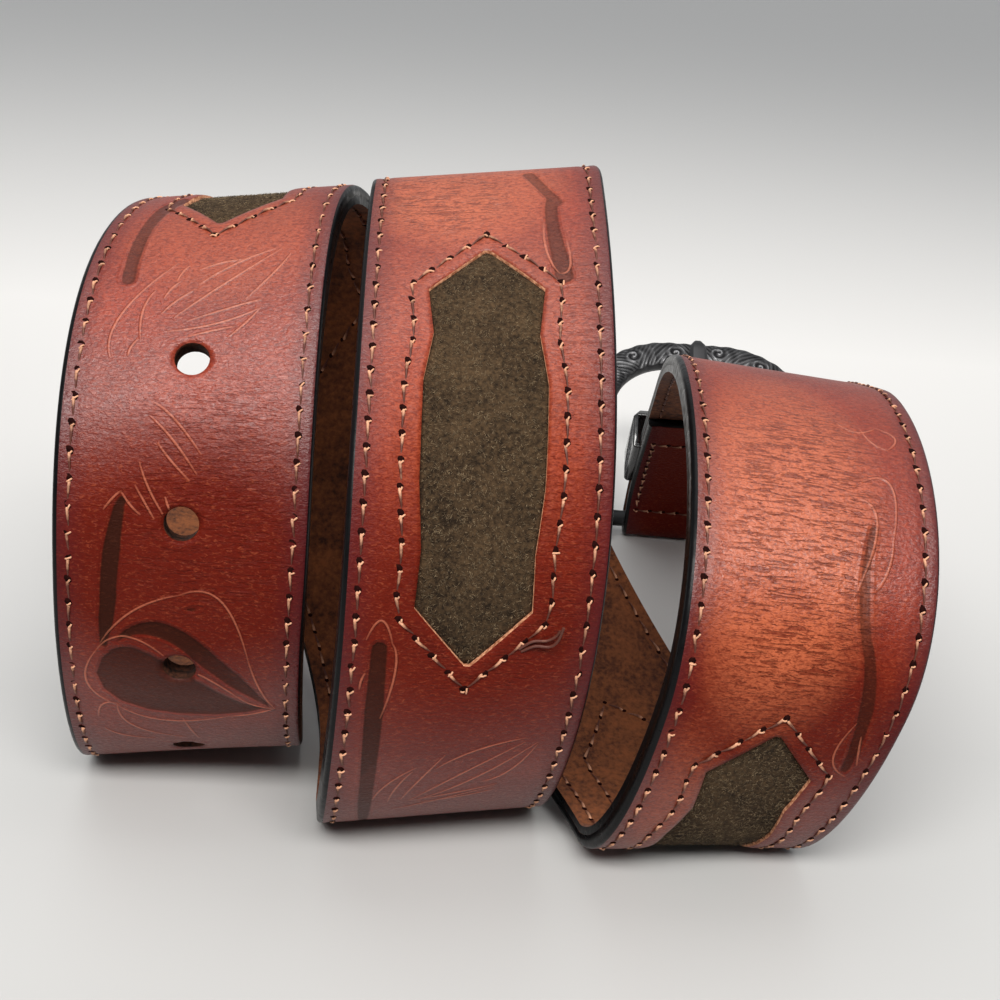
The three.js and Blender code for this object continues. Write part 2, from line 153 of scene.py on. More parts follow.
def soft_box(name, place, aim, width, height, watts, colour):
    data = bpy.data.lights.new(name, "AREA")
    data.shape = "RECTANGLE"
    data.size = width
    data.size_y = height
    data.energy = watts
    data.color = colour
    lamp = bpy.data.objects.new(name, data)
    bpy.context.scene.collection.objects.link(lamp)
    lamp.location = place
    to_aim = Vector(aim) - Vector(place)
    lamp.rotation_mode = "QUATERNION"
    lamp.rotation_quaternion = to_aim.to_track_quat("-Z", "Y")


soft_box("overhead_box", (0.0, 0.12, 0.85), (0.0, 0.05, 0.0), 0.8, 0.5, 2.5, (1.0, 0.985, 0.96))
soft_box("front_box", (0.0, -0.50, 0.62), (0.0, 0.0, 0.05), 0.7, 0.22, 9.0, (1.0, 0.98, 0.95))


# Strap, outer layer. Vegetable-tanned grain leather about 1.8 mm thick, dyed red-brown with darker rims,
# tooled by hand, cut out for three windows and punched for the prong. It is rolled into three loops,
# turns round the buckle's bar and comes back inside as a flap. Its edges are painted black.
strap_width = 0.0381
face_thick = 0.0018
lining_depth = 0.0021
lining_bottom = 0.0034
coil_height = 0.104
coil_depth = 0.084
tip_point = 0.022
tip_half = 0.004
bar_radius = 0.002
fold_outer = 0.0041
flap_outer = 0.0055
flap_length = 0.053
flap_ease = 0.013
lining_stop = 0.0351
end_heading = -778.0
fold_seat = fold_outer * (1.0 + math.cos(math.radians(end_heading))) + 0.0001

# Name, across as a share of the strap's width, depth and height as shares of the coil's, heading,
# yaw and roll in degrees
route_rows = [
    ("tip", -1.738, 1.246, 0.091, 200.0, 14.0, 0.0),
    ("tip lies flat", -1.449, 0.735, 0.006, 180.0, 14.0, 0.0),
    ("first bottom", -1.08, 0.058, 0.027, 180.0, 9.5, 6.5),
    ("first front", -0.966, -0.327, 0.425, 93.0, 4.1, -15.3),
    ("first top", -0.935, 0.425, 0.915, -18.3, -5.6, 8.2),
    ("first back", -0.751, 0.606, 0.638, -97.5, 6.0, -6.4),
    ("flat begins", 0.008, 0.065, 0.0, -180.0, 14.9, 0.0),
    ("flat ends", 0.04, -0.065, 0.0, -180.0, 14.9, 0.0),
    ("middle front", 0.215, -0.467, 0.487, -270.2, 9.2, 1.3),
    ("middle top", 0.125, 0.18, 1.0, -346.6, 7.2, 7.1),
    ("middle back", 0.047, 0.533, 0.549, -459.6, 15.4, -1.6),
    ("last bottom", 1.202, -0.201, 0.016, -540.0, 14.0, -5.0),
    ("last front", 1.462, -0.432, 0.363, -623.4, 9.0, -0.8),
    ("last top", 1.533, 0.244, 0.709, -734.1, 3.4, -6.6),
    ("slope", 1.609, 0.885, 0.519, -754.9, 2.0, -2.0),
    ("bar", 1.609, 1.44, fold_seat / coil_height, end_heading, 0.0, 0.0),
]


def side_stretch(row, following, samples):
    start = np.array([row[2] * coil_depth, row[3] * coil_height])
    end = np.array([following[2] * coil_depth, following[3] * coil_height])
    turn_from, turn_to = math.radians(row[4]), math.radians(following[4])
    leave = np.array([math.cos(turn_from), math.sin(turn_from)])
    arrive = np.array([math.cos(turn_to), math.sin(turn_to)])
    chord = end - start
    turn = abs(turn_to - turn_from)
    cross = leave[0] * arrive[1] - leave[1] * arrive[0]
    leave_reach = arrive_reach = np.linalg.norm(chord) / 2.0
    handle = 2.0 / 3.0
    if abs(cross) > 0.05:
        leave_reach = (chord[0] * arrive[1] - chord[1] * arrive[0]) / cross
        arrive_reach = (leave[0] * chord[1] - leave[1] * chord[0]) / cross
        handle = (4.0 / 3.0) * math.tan(turn / 4.0) / math.tan(turn / 2.0)
    first = start + leave * leave_reach * handle
    second = end - arrive * arrive_reach * handle
    t = np.linspace(0.0, 1.0, samples, endpoint=False)[:, None]
    return (1 - t) ** 3 * start + 3 * (1 - t) ** 2 * t * first + 3 * (1 - t) * t**2 * second + t**3 * end


def smooth_along(knots, values, at):
    steps = np.diff(knots)
    rises = np.diff(values) / steps
    slopes = np.empty(len(values))
    slopes[0], slopes[-1] = rises[0], rises[-1]
    slopes[1:-1] = (rises[:-1] * steps[1:] + rises[1:] * steps[:-1]) / (steps[1:] + steps[:-1])
    i = np.clip(np.searchsorted(knots, at, side="right") - 1, 0, len(knots) - 2)
    span = knots[i + 1] - knots[i]
    t = (at - knots[i]) / span
    low = (2 * t**3 - 3 * t**2 + 1) * values[i] + (t**3 - 2 * t**2 + t) * span * slopes[i]
    return low + (-2 * t**3 + 3 * t**2) * values[i + 1] + (t**3 - t**2) * span * slopes[i + 1]


def unit(vectors):
    return vectors / np.linalg.norm(vectors, axis=-1, keepdims=True)


def build_route(samples=40):
    stretches = [side_stretch(a, b, samples) for a, b in zip(route_rows[:-1], route_rows[1:])]
    side = np.concatenate(stretches)
    last = route_rows[-1]
    side = np.vstack([side, [last[2] * coil_depth, last[3] * coil_height]])
    length = np.concatenate([[0.0], np.cumsum(np.linalg.norm(np.diff(side, axis=0), axis=1))])
    knots = length[::samples]
    across = smooth_along(knots, np.array([row[1] for row in route_rows]) * strap_width, length)
    yaw = np.radians(smooth_along(knots, np.array([row[5] for row in route_rows]), length))
    roll = np.radians(smooth_along(knots, np.array([row[6] for row in route_rows]), length))
    points = np.column_stack([across, side])
    along = unit(np.gradient(points, axis=0))
    width = np.column_stack([np.cos(yaw), np.sin(yaw), np.tan(roll)])
    width = unit(width - (width * along).sum(1)[:, None] * along)
    normal = np.cross(width, along)
    at = np.concatenate([[0.0], np.cumsum(np.linalg.norm(np.diff(points, axis=0), axis=1))])
    return at, points, width, normal


route_at, route_points, route_width, route_normal = build_route()
strap_length = route_at[-1]
fold_length = math.pi * fold_outer
face_end = strap_length + fold_length + flap_length


def on_route(at, table):
    return np.stack([np.interp(at, route_at, table[:, k]) for k in range(3)], -1)


def strap_frame(at):
    """Grain-side point, width direction and outward normal, on past the bar to the flap's end."""
    at = np.asarray(at, float)
    back = np.clip(at - strap_length - fold_length, 0.0, None)
    base = np.where(at > strap_length, strap_length - back, at)
    point = on_route(base, route_points)
    width = unit(on_route(base, route_width))
    normal = unit(on_route(base, route_normal))
    end_normal = unit(route_normal[-1])
    end_along = np.cross(end_normal, unit(route_width[-1]))
    centre = route_points[-1] - end_normal * fold_outer
    angle = (np.clip(at - strap_length, 0.0, fold_length) / fold_outer)[..., None]
    turning = end_normal * np.cos(angle) + end_along * np.sin(angle)
    ease = np.clip(back / flap_ease, 0.0, 1.0)
    ease = ease * ease * (3.0 - 2.0 * ease)
    depth = (2.0 * fold_outer + (flap_outer - 2.0 * fold_outer) * ease)[..., None]
    in_fold = ((at > strap_length) & (back <= 0.0))[..., None]
    in_flap = (back > 0.0)[..., None]
    point = np.where(in_fold, centre + turning * fold_outer, np.where(in_flap, point - normal * depth, point))
    normal = np.where(in_fold, turning, np.where(in_flap, -normal, normal))
    return point, width, normal


def on_strap(at, across, out):
    """Points at a distance from the tip, across from the middle, and out from the grain side."""
    point, width, normal = strap_frame(at)
    return point + width * np.asarray(across)[..., None] + normal * np.asarray(out)[..., None]


def half_width_at(at):
    share = np.clip(1.0 - np.asarray(at) / tip_point, 0.0, 1.0)
    return tip_half + (strap_width / 2.0 - tip_half) * np.sqrt(1.0 - share**2)


# Openings in the strap: three windows with pointed ends, five punched holes and the prong's slot
window_middles = [0.2635, 0.4902, 0.7169]
window_length = 0.0685
window_width = 0.0182
window_shape = [(-0.5, 0.05), (-0.365, 0.94), (-0.24, 0.9), (-0.1, 0.99), (0.02, 1.0)]
window_shape += [(0.13, 1.0), (0.25, 0.86), (0.375, 0.96), (0.5, 0.05)]
hole_radius = 0.00265
hole_places = [0.0987 + 0.0254 * i for i in range(5)]
slot_half = 0.0029
slot_reach = 0.014
open_half = 0.0092
open_ease = 0.009
fine_step = 0.0007
coarse_step = 0.002
seen_stretches = [(0.096, 0.335), (0.383, 0.556), (0.68, 0.962), (0.985, face_end)]


def window_opening(middle):
    return [(middle + along * window_length, half * window_width / 2.0) for along, half in window_shape]


def hole_opening(middle):
    angles = np.radians(np.linspace(8.0, 172.0, 15))
    return [(middle - hole_radius * math.cos(a), hole_radius * math.sin(a)) for a in angles]


windows = [window_opening(middle) for middle in window_middles]
holes = [hole_opening(middle) for middle in hole_places]
slot_ends = (strap_length - slot_reach, strap_length + fold_length + slot_reach)
slot = [(slot_ends[0], slot_half), (slot_ends[1], slot_half)]


def ring_places(end, openings, stretches):
    places = [0.0]
    while places[-1] < end:
        seen = any(low <= places[-1] < high for low, high in stretches)
        places.append(places[-1] + (fine_step if seen else coarse_step))
    places[-1] = end
    keys = [at for opening in openings for at, half in opening if at < end]
    near = fine_step * 0.4
    kept = [at for at in places[1:-1] if all(abs(at - key) > near for key in keys)]
    return np.array(sorted([0.0, end] + kept + keys))


def opening_half(at, openings):
    """Half width of the strip of columns that an opening uses, eased out between openings."""
    half = np.full(len(at), open_half)
    for opening in openings:
        places, halves = np.array(opening).T
        inside = (at >= places[0] - 1e-9) & (at <= places[-1] + 1e-9)
        half[inside] = np.interp(at[inside], places, halves)
        for edge, side in ((0, -1.0), (-1, 1.0)):
            away = (at - places[edge]) * side
            near = (away > 1e-9) & (away < open_ease)
            share = np.clip(away[near] / open_ease, 0.0, 1.0)
            share = share * share * (3.0 - 2.0 * share)
            half[near] = np.minimum(half[near], halves[edge] + (open_half - halves[edge]) * share)
    return half


def in_opening(at, openings):
    """True for each gap between neighbouring places that lies inside an opening."""
    middle = (at[:-1] + at[1:]) / 2.0
    found = np.zeros(len(middle), bool)
    for opening in openings:
        found |= (middle > opening[0][0]) & (middle < opening[-1][0])
    return found


# Tooled lines on the grain, as start, bend and end places: along the strap, then across, in mm
fan_lines = [
    ((199.5, -12.0), (207.0, -11.5), (218.0, -4.5)), ((203.0, -8.0), (208.0, -8.3), (212.0, -7.0)),
    ((200.0, -9.5), (201.5, -9.2), (203.0, -8.3)), ((207.5, -5.5), (210.0, -3.6), (212.5, -1.0)),
    ((207.0, -3.5), (213.0, 2.6), (221.5, 11.5)), ((213.5, -0.5), (218.0, 4.6), (221.5, 10.5)),
    ((206.5, -1.5), (209.5, 5.5), (211.0, 9.5)), ((204.5, -4.5), (206.3, 3.0), (209.5, 9.5)),
    ((204.0, 5.0), (206.6, 7.4), (209.5, 9.5)), ((211.0, 7.0), (216.5, 11.0), (220.5, 13.0)),
    ((210.5, -5.5), (212.5, -4.6), (214.0, -3.5)), ((214.0, -4.0), (216.0, -3.4), (217.5, -2.5)),
    ((216.5, -1.0), (218.2, 2.4), (219.0, 6.0)), ((203.8, -1.0), (205.0, 2.5), (206.0, 6.0)),
    ((193.0, -5.0), (190.5, -1.6), (185.5, 2.5)), ((191.0, -5.5), (187.5, -1.8), (182.5, 2.0)),
    ((187.0, -4.0), (184.5, -2.0), (181.5, 1.0)), ((180.5, -7.0), (177.5, -5.2), (175.5, -4.0)),
    ((179.5, -9.0), (177.5, -7.6), (176.0, -6.0)), ((184.0, -6.5), (180.0, -4.9), (176.0, -2.5)),
    ((179.0, -2.5), (177.8, -2.1), (176.5, -1.5)), ((179.5, -9.0), (178.3, -10.2), (176.5, -11.5)),
    ((425.5, -11.0), (430.5, -9.2), (435.0, -5.0)), ((424.5, -8.5), (429.5, -7.6), (434.0, -5.5)),
    ((425.0, -6.5), (431.0, -4.4), (438.0, -1.0)), ((424.5, -5.0), (432.0, 1.4), (441.0, 11.0)),
    ((424.5, -4.0), (430.5, 3.6), (441.0, 13.0)), ((434.5, -2.0), (439.0, 3.5), (442.0, 11.0)),
    ((430.0, 5.5), (433.0, 9.5), (440.5, 13.0)), ((421.0, -7.5), (424.0, -0.5), (428.5, 8.5)),
    ((424.5, -5.0), (426.5, 2.0), (429.0, 8.5)), ((423.5, -3.0), (424.9, 3.0), (427.0, 8.5)),
]
leaf_lines = [
    ((153.5, -12.0), (160.0, -7.0), (163.5, 0.0)), ((163.5, 0.0), (163.0, 6.5), (152.5, 10.8)),
    ((152.5, 10.8), (146.0, 12.8), (141.8, 15.0)), ((152.0, -12.7), (155.2, -8.0), (151.6, -1.8)),
    ((151.6, -1.8), (147.8, 4.6), (143.9, 9.2)), ((143.9, 9.2), (142.2, 11.9), (141.8, 15.0)),
    ((152.0, -12.7), (145.0, -14.6), (139.5, -10.2)), ((139.5, -10.2), (136.0, -2.5), (138.5, 7.5)),
    ((138.5, 7.5), (139.8, 11.5), (141.8, 15.0)), ((136.0, -13.5), (139.5, -12.6), (140.0, -10.2)),
    ((140.0, -10.2), (133.5, -8.0), (129.8, 0.0)), ((137.0, 0.0), (133.5, 1.0), (129.5, 2.2)),
    ((132.5, -13.0), (129.9, -10.0), (128.8, -5.0)), ((460.0, -15.0), (463.2, -13.0), (459.5, -11.2)),
    ((459.5, -11.2), (455.0, -10.4), (446.0, -11.8)), ((454.5, -14.7), (453.0, -15.2), (451.5, -15.3)),
    ((531.0, 8.9), (523.5, 9.2), (519.0, 11.0)), ((519.0, 11.0), (520.5, 12.6), (526.0, 12.3)),
    ((794.0, 7.0), (794.5, 11.8), (784.5, 11.7)), ((784.5, 11.7), (780.0, 11.0), (776.5, 9.4)),
    ((791.0, 6.8), (786.5, 9.2), (775.0, 6.0)), ((744.5, 13.6), (748.5, 10.0), (755.5, 11.2)),
    ((747.0, 14.5), (750.0, 13.6), (753.0, 12.9)), ((808.0, 5.0), (806.0, 8.0), (808.2, 11.4)),
    ((808.2, 11.4), (806.0, 14.2), (802.5, 12.6)), ((802.5, 12.6), (803.6, 10.2), (807.0, 8.8)),
]
# Dark dyed strokes pressed into the grain: start, bend, end, width at the start, middle and end, tint
dyed_strokes = [
    ((178.0, -9.0), (170.0, -10.2), (161.5, -10.7), (1.6, 2.7, 2.6), 0.85),
    ((162.5, -10.6), (158.0, -11.0), (152.5, -11.7), (2.6, 2.4, 1.0), 0.85),
    ((241.5, -9.6), (229.0, -11.6), (214.2, -11.6), (3.2, 2.3, 2.2), 0.62),
    ((154.0, -9.8), (157.0, -3.2), (151.9, 4.4), (0.6, 3.0, 3.3), 0.80),
    ((152.8, 3.4), (147.6, 8.8), (142.0, 14.3), (3.3, 2.9, 0.5), 0.72),
    ((458.6, -13.0), (447.0, -12.8), (434.0, -12.4), (2.4, 2.9, 2.5), 0.80),
    ((435.0, -12.4), (424.0, -12.1), (411.0, -11.5), (2.5, 2.3, 1.4), 0.70),
    ((547.5, 6.9), (541.0, 9.4), (537.0, 11.2), (2.1, 1.9, 2.0), 0.55),
    ((538.5, 10.6), (530.5, 10.3), (518.4, 11.7), (2.0, 2.2, 2.9), 0.62),
    ((786.0, 8.6), (776.0, 7.6), (767.0, 9.5), (1.0, 1.7, 1.7), 0.55),
    ((768.0, 9.3), (758.0, 11.8), (746.0, 13.0), (1.7, 2.4, 1.6), 0.65),
    ((161.0, 1.1), (161.3, 2.2), (161.6, 3.4), (0.2, 0.8, 0.3), 0.70),
]
petal_outline = [(150.6, -11.9), (153.0, -9.6), (153.3, -7.2), (152.0, -4.2), (149.6, -0.6), (147.0, 3.0)]
petal_outline += [(144.4, 6.6), (142.6, 9.6), (141.6, 13.4), (140.0, 10.6), (138.6, 5.5), (138.2, 0.0)]
petal_outline += [(138.8, -5.2), (140.6, -9.4), (143.4, -12.0), (147.0, -13.0)]
petal_tint = 0.72
# Places where the grain is creased or scuffed: along, across, half length, half width, strength
creased_places = [(782.0, -1.0, 34.0, 13.0, 1.0), (470.0, 4.0, 26.0, 15.0, 0.45)]
creased_places += [(178.0, 4.0, 20.0, 14.0, 0.55), (541.0, -7.0, 12.0, 11.0, 0.8)]
creased_places += [(500.0, 15.0, 30.0, 5.0, 0.35)]
# Places where the leather is paler: rubbed wear on the last loop's middle and the middle loop's top, and
# weaker patches on the loops' lit bands that are a painted highlight
worn_and_highlight_places = [(786.0, -4.0, 34.0, 14.0, 1.0), (543.0, -4.0, 18.0, 16.0, 0.9)]
worn_and_highlight_places += [(735.0, -14.0, 18.0, 8.0, 0.35), (505.0, 0.0, 30.0, 19.0, 0.25)]
worn_and_highlight_places += [(226.0, 2.0, 16.0, 16.0, 0.35)]
# Places rubbed dry of wax, which hardly shine
matt_places = [(168.0, 0.0, 22.0, 30.0, 1.0), (472.0, 0.0, 34.0, 30.0, 1.0), (757.0, 0.0, 18.0, 30.0, 1.0)]
matt_places += [(1010.0, 0.0, 70.0, 40.0, 1.0)]
# Places darkened with painted shade: the loops' fronts and lower parts, the last loop's back slope and the
# flap
painted_shade_places = [(165.0, 2.0, 26.0, 30.0, 1.0), (455.0, 0.0, 30.0, 30.0, 0.9)]
painted_shade_places += [(748.0, 0.0, 24.0, 30.0, 0.9), (120.0, 0.0, 30.0, 30.0, 0.7)]
painted_shade_places += [(415.0, 0.0, 30.0, 30.0, 0.7), (715.0, 0.0, 30.0, 30.0, 0.7)]
painted_shade_places += [(1000.0, 0.0, 45.0, 40.0, 1.0), (915.0, 0.0, 60.0, 30.0, 0.5)]
millimetre = 0.001
gap_limit = 0.002


def bent_line(line, count):
    start, bend, end = (np.array(point) * millimetre for point in line[:3])
    t = np.linspace(0.0, 1.0, count)[:, None]
    through = 2.0 * bend - (start + end) / 2.0
    return (1 - t) ** 2 * start + 2 * (1 - t) * t * through + t**2 * end


def stroke_gap(at, across, stroke):
    """How far inside a stroke each place is, in metres; negative outside it."""
    start, bend, end, widths, _ = stroke
    points = bent_line((start, bend, end), 40)
    first, middle, last = (width * millimetre / 2.0 for width in widths)
    halves = np.interp(np.linspace(0.0, 1.0, 40), [0.0, 0.5, 1.0], [first, middle, last])
    low, high = points.min(0) - gap_limit * 2.0, points.max(0) + gap_limit * 2.0
    near = (at > low[0]) & (at < high[0]) & (across > low[1]) & (across < high[1])
    gap = np.full(at.shape, -gap_limit)
    if near.any():
        gaps = np.hypot(at[near][:, None] - points[:, 0], across[near][:, None] - points[:, 1])
        gap[near] = np.maximum((halves - gaps).max(1), -gap_limit)
    return gap


def blob_share(at, across, rows):
    share = np.zeros(at.shape)
    for middle, side, half_length, half_width, strength in rows:
        far = ((at / millimetre - middle) / half_length) ** 2
        far = far + ((across / millimetre - side) / half_width) ** 2
        share = np.maximum(share, strength * np.clip(1.35 - far, 0.0, 1.0))
    return share


def inside_outline(at, across, outline):
    points = np.array(outline) * millimetre
    inside = np.zeros(at.shape, bool)
    for (a0, c0), (a1, c1) in zip(points, np.roll(points, -1, axis=0)):
        crosses = (c0 > across) != (c1 > across)
        rise = (a1 - a0) / (c1 - c0) if c1 != c0 else 0.0
        inside ^= crosses & (at < a0 + (across - c0) * rise)
    return inside


def outline_gap(at, across, outline):
    """Distance to a closed outline that is near the place, else a large number."""
    points = np.array(outline)
    gap = np.full(at.shape, 1.0)
    near = (at > points[:, 0].min() - 0.01) & (at < points[:, 0].max() + 0.01)
    here = np.stack([at[near], across[near]], -1)
    best = np.full(len(here), 1.0)
    for start, end in zip(points, np.roll(points, -1, axis=0)):
        edge = end - start
        share = np.clip(((here - start) @ edge) / max(edge @ edge, 1e-12), 0.0, 1.0)
        best = np.minimum(best, np.linalg.norm(here - start - share[:, None] * edge, axis=1))
    gap[near] = best
    return gap


def dyed_gap(at, across):
    """How far inside the nearest dyed mark each place is, and how dark that mark is."""
    gap = outline_gap(at, across, np.array(petal_outline) * millimetre)
    inside = inside_outline(at, across, petal_outline)
    best = np.maximum(np.where(inside, gap, -gap), -gap_limit)
    tint = np.full(at.shape, petal_tint)
    for stroke in dyed_strokes:
        gap = stroke_gap(at, across, stroke)
        closer = gap > best
        best = np.where(closer, gap, best)
        tint = np.where(closer, stroke[4], tint)
    return best, tint


def both_sides(opening, margin=0.0):
    right = [(at, half + margin) for at, half in opening]
    return right + [(at, -half) for at, half in reversed(right)]


def ring_mesh(name, places, openings, half_of, top_of, bottom_of, edge_radius, groups):
    """A closed strip through rings of points, with the openings cut through it.

    top_of and bottom_of give the two sides' heights. Returns the mesh and, for each vertex, its
    place along, its place across and its distance in from the painted edge."""
    side_columns, middle_columns = groups
    half = half_of(places)
    inner = np.minimum(opening_half(places, openings), half * 0.5)
    left = np.linspace(0.0, 1.0, side_columns + 1)[:-1]
    middle = np.linspace(-1.0, 1.0, middle_columns + 1)
    rim = (half - edge_radius)[:, None]
    inner = inner[:, None]
    columns = [-rim + (rim - inner) * left, inner * middle, inner + (rim - inner) * (1.0 - left[::-1])]
    across = np.concatenate(columns, 1)
    top_count = across.shape[1]
    at = np.repeat(places[:, None], top_count, 1)
    out = top_of(at, across)
    inward = rim + edge_radius - np.abs(across)
    bend = np.radians([30.0, 60.0, 90.0])
    arc_across = rim + edge_radius * np.sin(bend)
    arc_out = -edge_radius * (1.0 - np.cos(bend))
    floor_out = bottom_of(places)[:, None]
    low_across = np.concatenate([half[:, None], inner, -inner, -half[:, None]], 1)
    edge_top_right = out[:, -1:] + arc_out
    edge_top_left = out[:, :1] + arc_out[::-1]
    across = np.concatenate([across, arc_across, low_across, -arc_across[:, ::-1]], 1)
    low_out = np.repeat(floor_out, 4, 1)
    out = np.concatenate([out, edge_top_right, low_out, edge_top_left], 1)
    past_right = np.repeat([[-0.0003, -0.0007, -0.0012]], len(places), 0)
    below = np.repeat([[-0.002, 0.01, 0.01, -0.002]], len(places), 0)
    inward = np.concatenate([inward, past_right, below, past_right[:, ::-1]], 1)
    size = across.shape[1]
    at = np.repeat(places[:, None], size, 1)
    points = on_strap(at, across, out).reshape(-1, 3)
    ring = np.arange(size)
    following = (ring + 1) % size
    first = side_columns
    last = side_columns + middle_columns
    low_right, low_left = top_count + 4, top_count + 5
    in_gap = ((ring >= first) & (ring < last)) | (ring == low_right)
    faces = []
    slots = []
    opened = in_opening(places, openings)
    wall_slots = np.where(in_opening(places, windows), 2, 4)
    edge_slots = np.where((ring >= top_count) & (ring < top_count + 3) | (ring >= size - 4), 1, 0)
    edge_slots = np.where((ring >= top_count + 3) & (ring < top_count + 6), 3, edge_slots)
    for i in range(len(places) - 1):
        base, onward = i * size, (i + 1) * size
        keep = ~in_gap if opened[i] else np.ones(size, bool)
        a, b = ring[keep], following[keep]
        faces += np.stack([base + a, base + b, onward + b, onward + a], 1).tolist()
        slots += edge_slots[keep].tolist()
        if opened[i]:
            faces.append([base + last, base + low_right, onward + low_right, onward + last])
            faces.append([base + low_left, base + first, onward + first, onward + low_left])
            slots += [wall_slots[i], wall_slots[i]]
        before = opened[i - 1] if i else False
        if opened[i] != before:
            strip = [base + j for j in range(first, last + 1)]
            faces.append(strip + [base + low_right, base + low_left])
            slots.append(min(wall_slots[i], wall_slots[i - 1]))
    faces.append(ring[::-1].tolist())
    faces.append((ring + (len(places) - 1) * size).tolist())
    slots += [1, 1]
    mesh = bpy.data.meshes.new(name)
    mesh.from_pydata(points.tolist(), [], faces)
    mesh.polygons.foreach_set("material_index", np.array(slots, np.int32))
    return mesh, at.ravel(), across.ravel(), inward.ravel()


def turn_faces_out(mesh):
    work = bmesh.new()
    work.from_mesh(mesh)
    bmesh.ops.recalc_face_normals(work, faces=work.faces)
    work.to_mesh(mesh)
    work.free()


def give_values(mesh, **values):
    for name, numbers in values.items():
        layer = mesh.attributes.new(name, "FLOAT", "POINT")
        layer.data.foreach_set("value", np.ascontiguousarray(numbers, np.float32))


def new_piece(name, mesh, body, smooth=True):
    piece = bpy.data.objects.new(name, mesh)
    bpy.context.scene.collection.objects.link(piece)
    if smooth:
        mesh.polygons.foreach_set("use_smooth", np.ones(len(mesh.polygons), bool))
    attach(piece, body)
    return piece


edge_stitch_inset = 0.0024
window_stitch_margin = 0.0027


def grain_height(at, across):
    """Relief of the grain side: pressed strokes, sunk stitch lines and lips round the openings."""
    gap, _ = dyed_gap(at, across)
    height = -0.00016 * np.clip(gap / 0.0009 + 0.3, 0.0, 1.0)
    row = np.abs(np.abs(across) - (half_width_at(at) - edge_stitch_inset))
    height -= 0.00016 * np.exp(-((row / 0.0006) ** 2))
    for opening in windows:
        gap = outline_gap(at, across, both_sides(opening))
        height -= 0.00022 * np.exp(-(((gap - window_stitch_margin) / 0.0007) ** 2))
        height -= 0.0002 * np.exp(-((gap / 0.0006) ** 2))
    for middle in hole_places:
        gap = np.hypot(at - middle, across) - hole_radius
        rim = 0.00012 * np.exp(-(((gap - 0.0005) / 0.0005) ** 2))
        height += rim - 0.0003 * np.exp(-((gap / 0.0003) ** 2))
    wave = np.sin(at * 61.0 + 1.3) * np.sin(at * 23.0 + across * 90.0)
    return height + 0.00012 * wave


def face_bottom(places):
    return np.where(places < strap_length - lining_stop, -lining_depth, -face_thick)


face_openings = windows + holes + [slot]
face_places = ring_places(face_end, face_openings, seen_stretches)
face_mesh, face_at, face_across, face_inward = ring_mesh(
    "strap_grain", face_places, face_openings, half_width_at, grain_height, face_bottom, 0.0008, (15, 26))
turn_faces_out(face_mesh)


def grain_values(at, across, inward, cut):
    """All that the leather's material reads at a place on the strap."""
    gap, tint = dyed_gap(at, across)
    values = {"along": at, "across": across, "inward": inward, "dyed": gap, "tint": tint, "cut": cut}
    values["creased"] = blob_share(at, across, creased_places)
    values["worn_and_highlight"] = blob_share(at, across, worn_and_highlight_places)
    values["painted_shade"] = blob_share(at, across, painted_shade_places)
    values["matt"] = blob_share(at, across, matt_places)
    return values


give_values(face_mesh, **grain_values(face_at, face_across, face_inward, np.zeros(face_at.shape)))

leather_deep = (0.088, 0.0062, 0.0030, 1.0)
leather_red = (0.260, 0.033, 0.013, 1.0)
leather_pale = (0.430, 0.105, 0.045, 1.0)
leather_rim = (0.060, 0.0080, 0.0110, 1.0)
leather_dye_and_cut_shade = (0.018, 0.008, 0.005, 1.0)
cut_crest_highlight = (0.44, 0.135, 0.075, 1.0)


def value_of(tree, name):
    return node(tree, "ShaderNodeAttribute", attribute_name=name).outputs["Fac"]


def stepped(tree, value, low, high, to_low=0.0, to_high=1.0):
    inputs = {0: value, 1: low, 2: high, 3: to_low, 4: to_high}
    return node(tree, "ShaderNodeMapRange", inputs, interpolation_type="SMOOTHSTEP").outputs[0]


def added(tree, *values):
    total = values[0]
    for value in values[1:]:
        total = maths(tree, "ADD", total, value)
    return total


def times(tree, first, second):
    return maths(tree, "MULTIPLY", first, second)


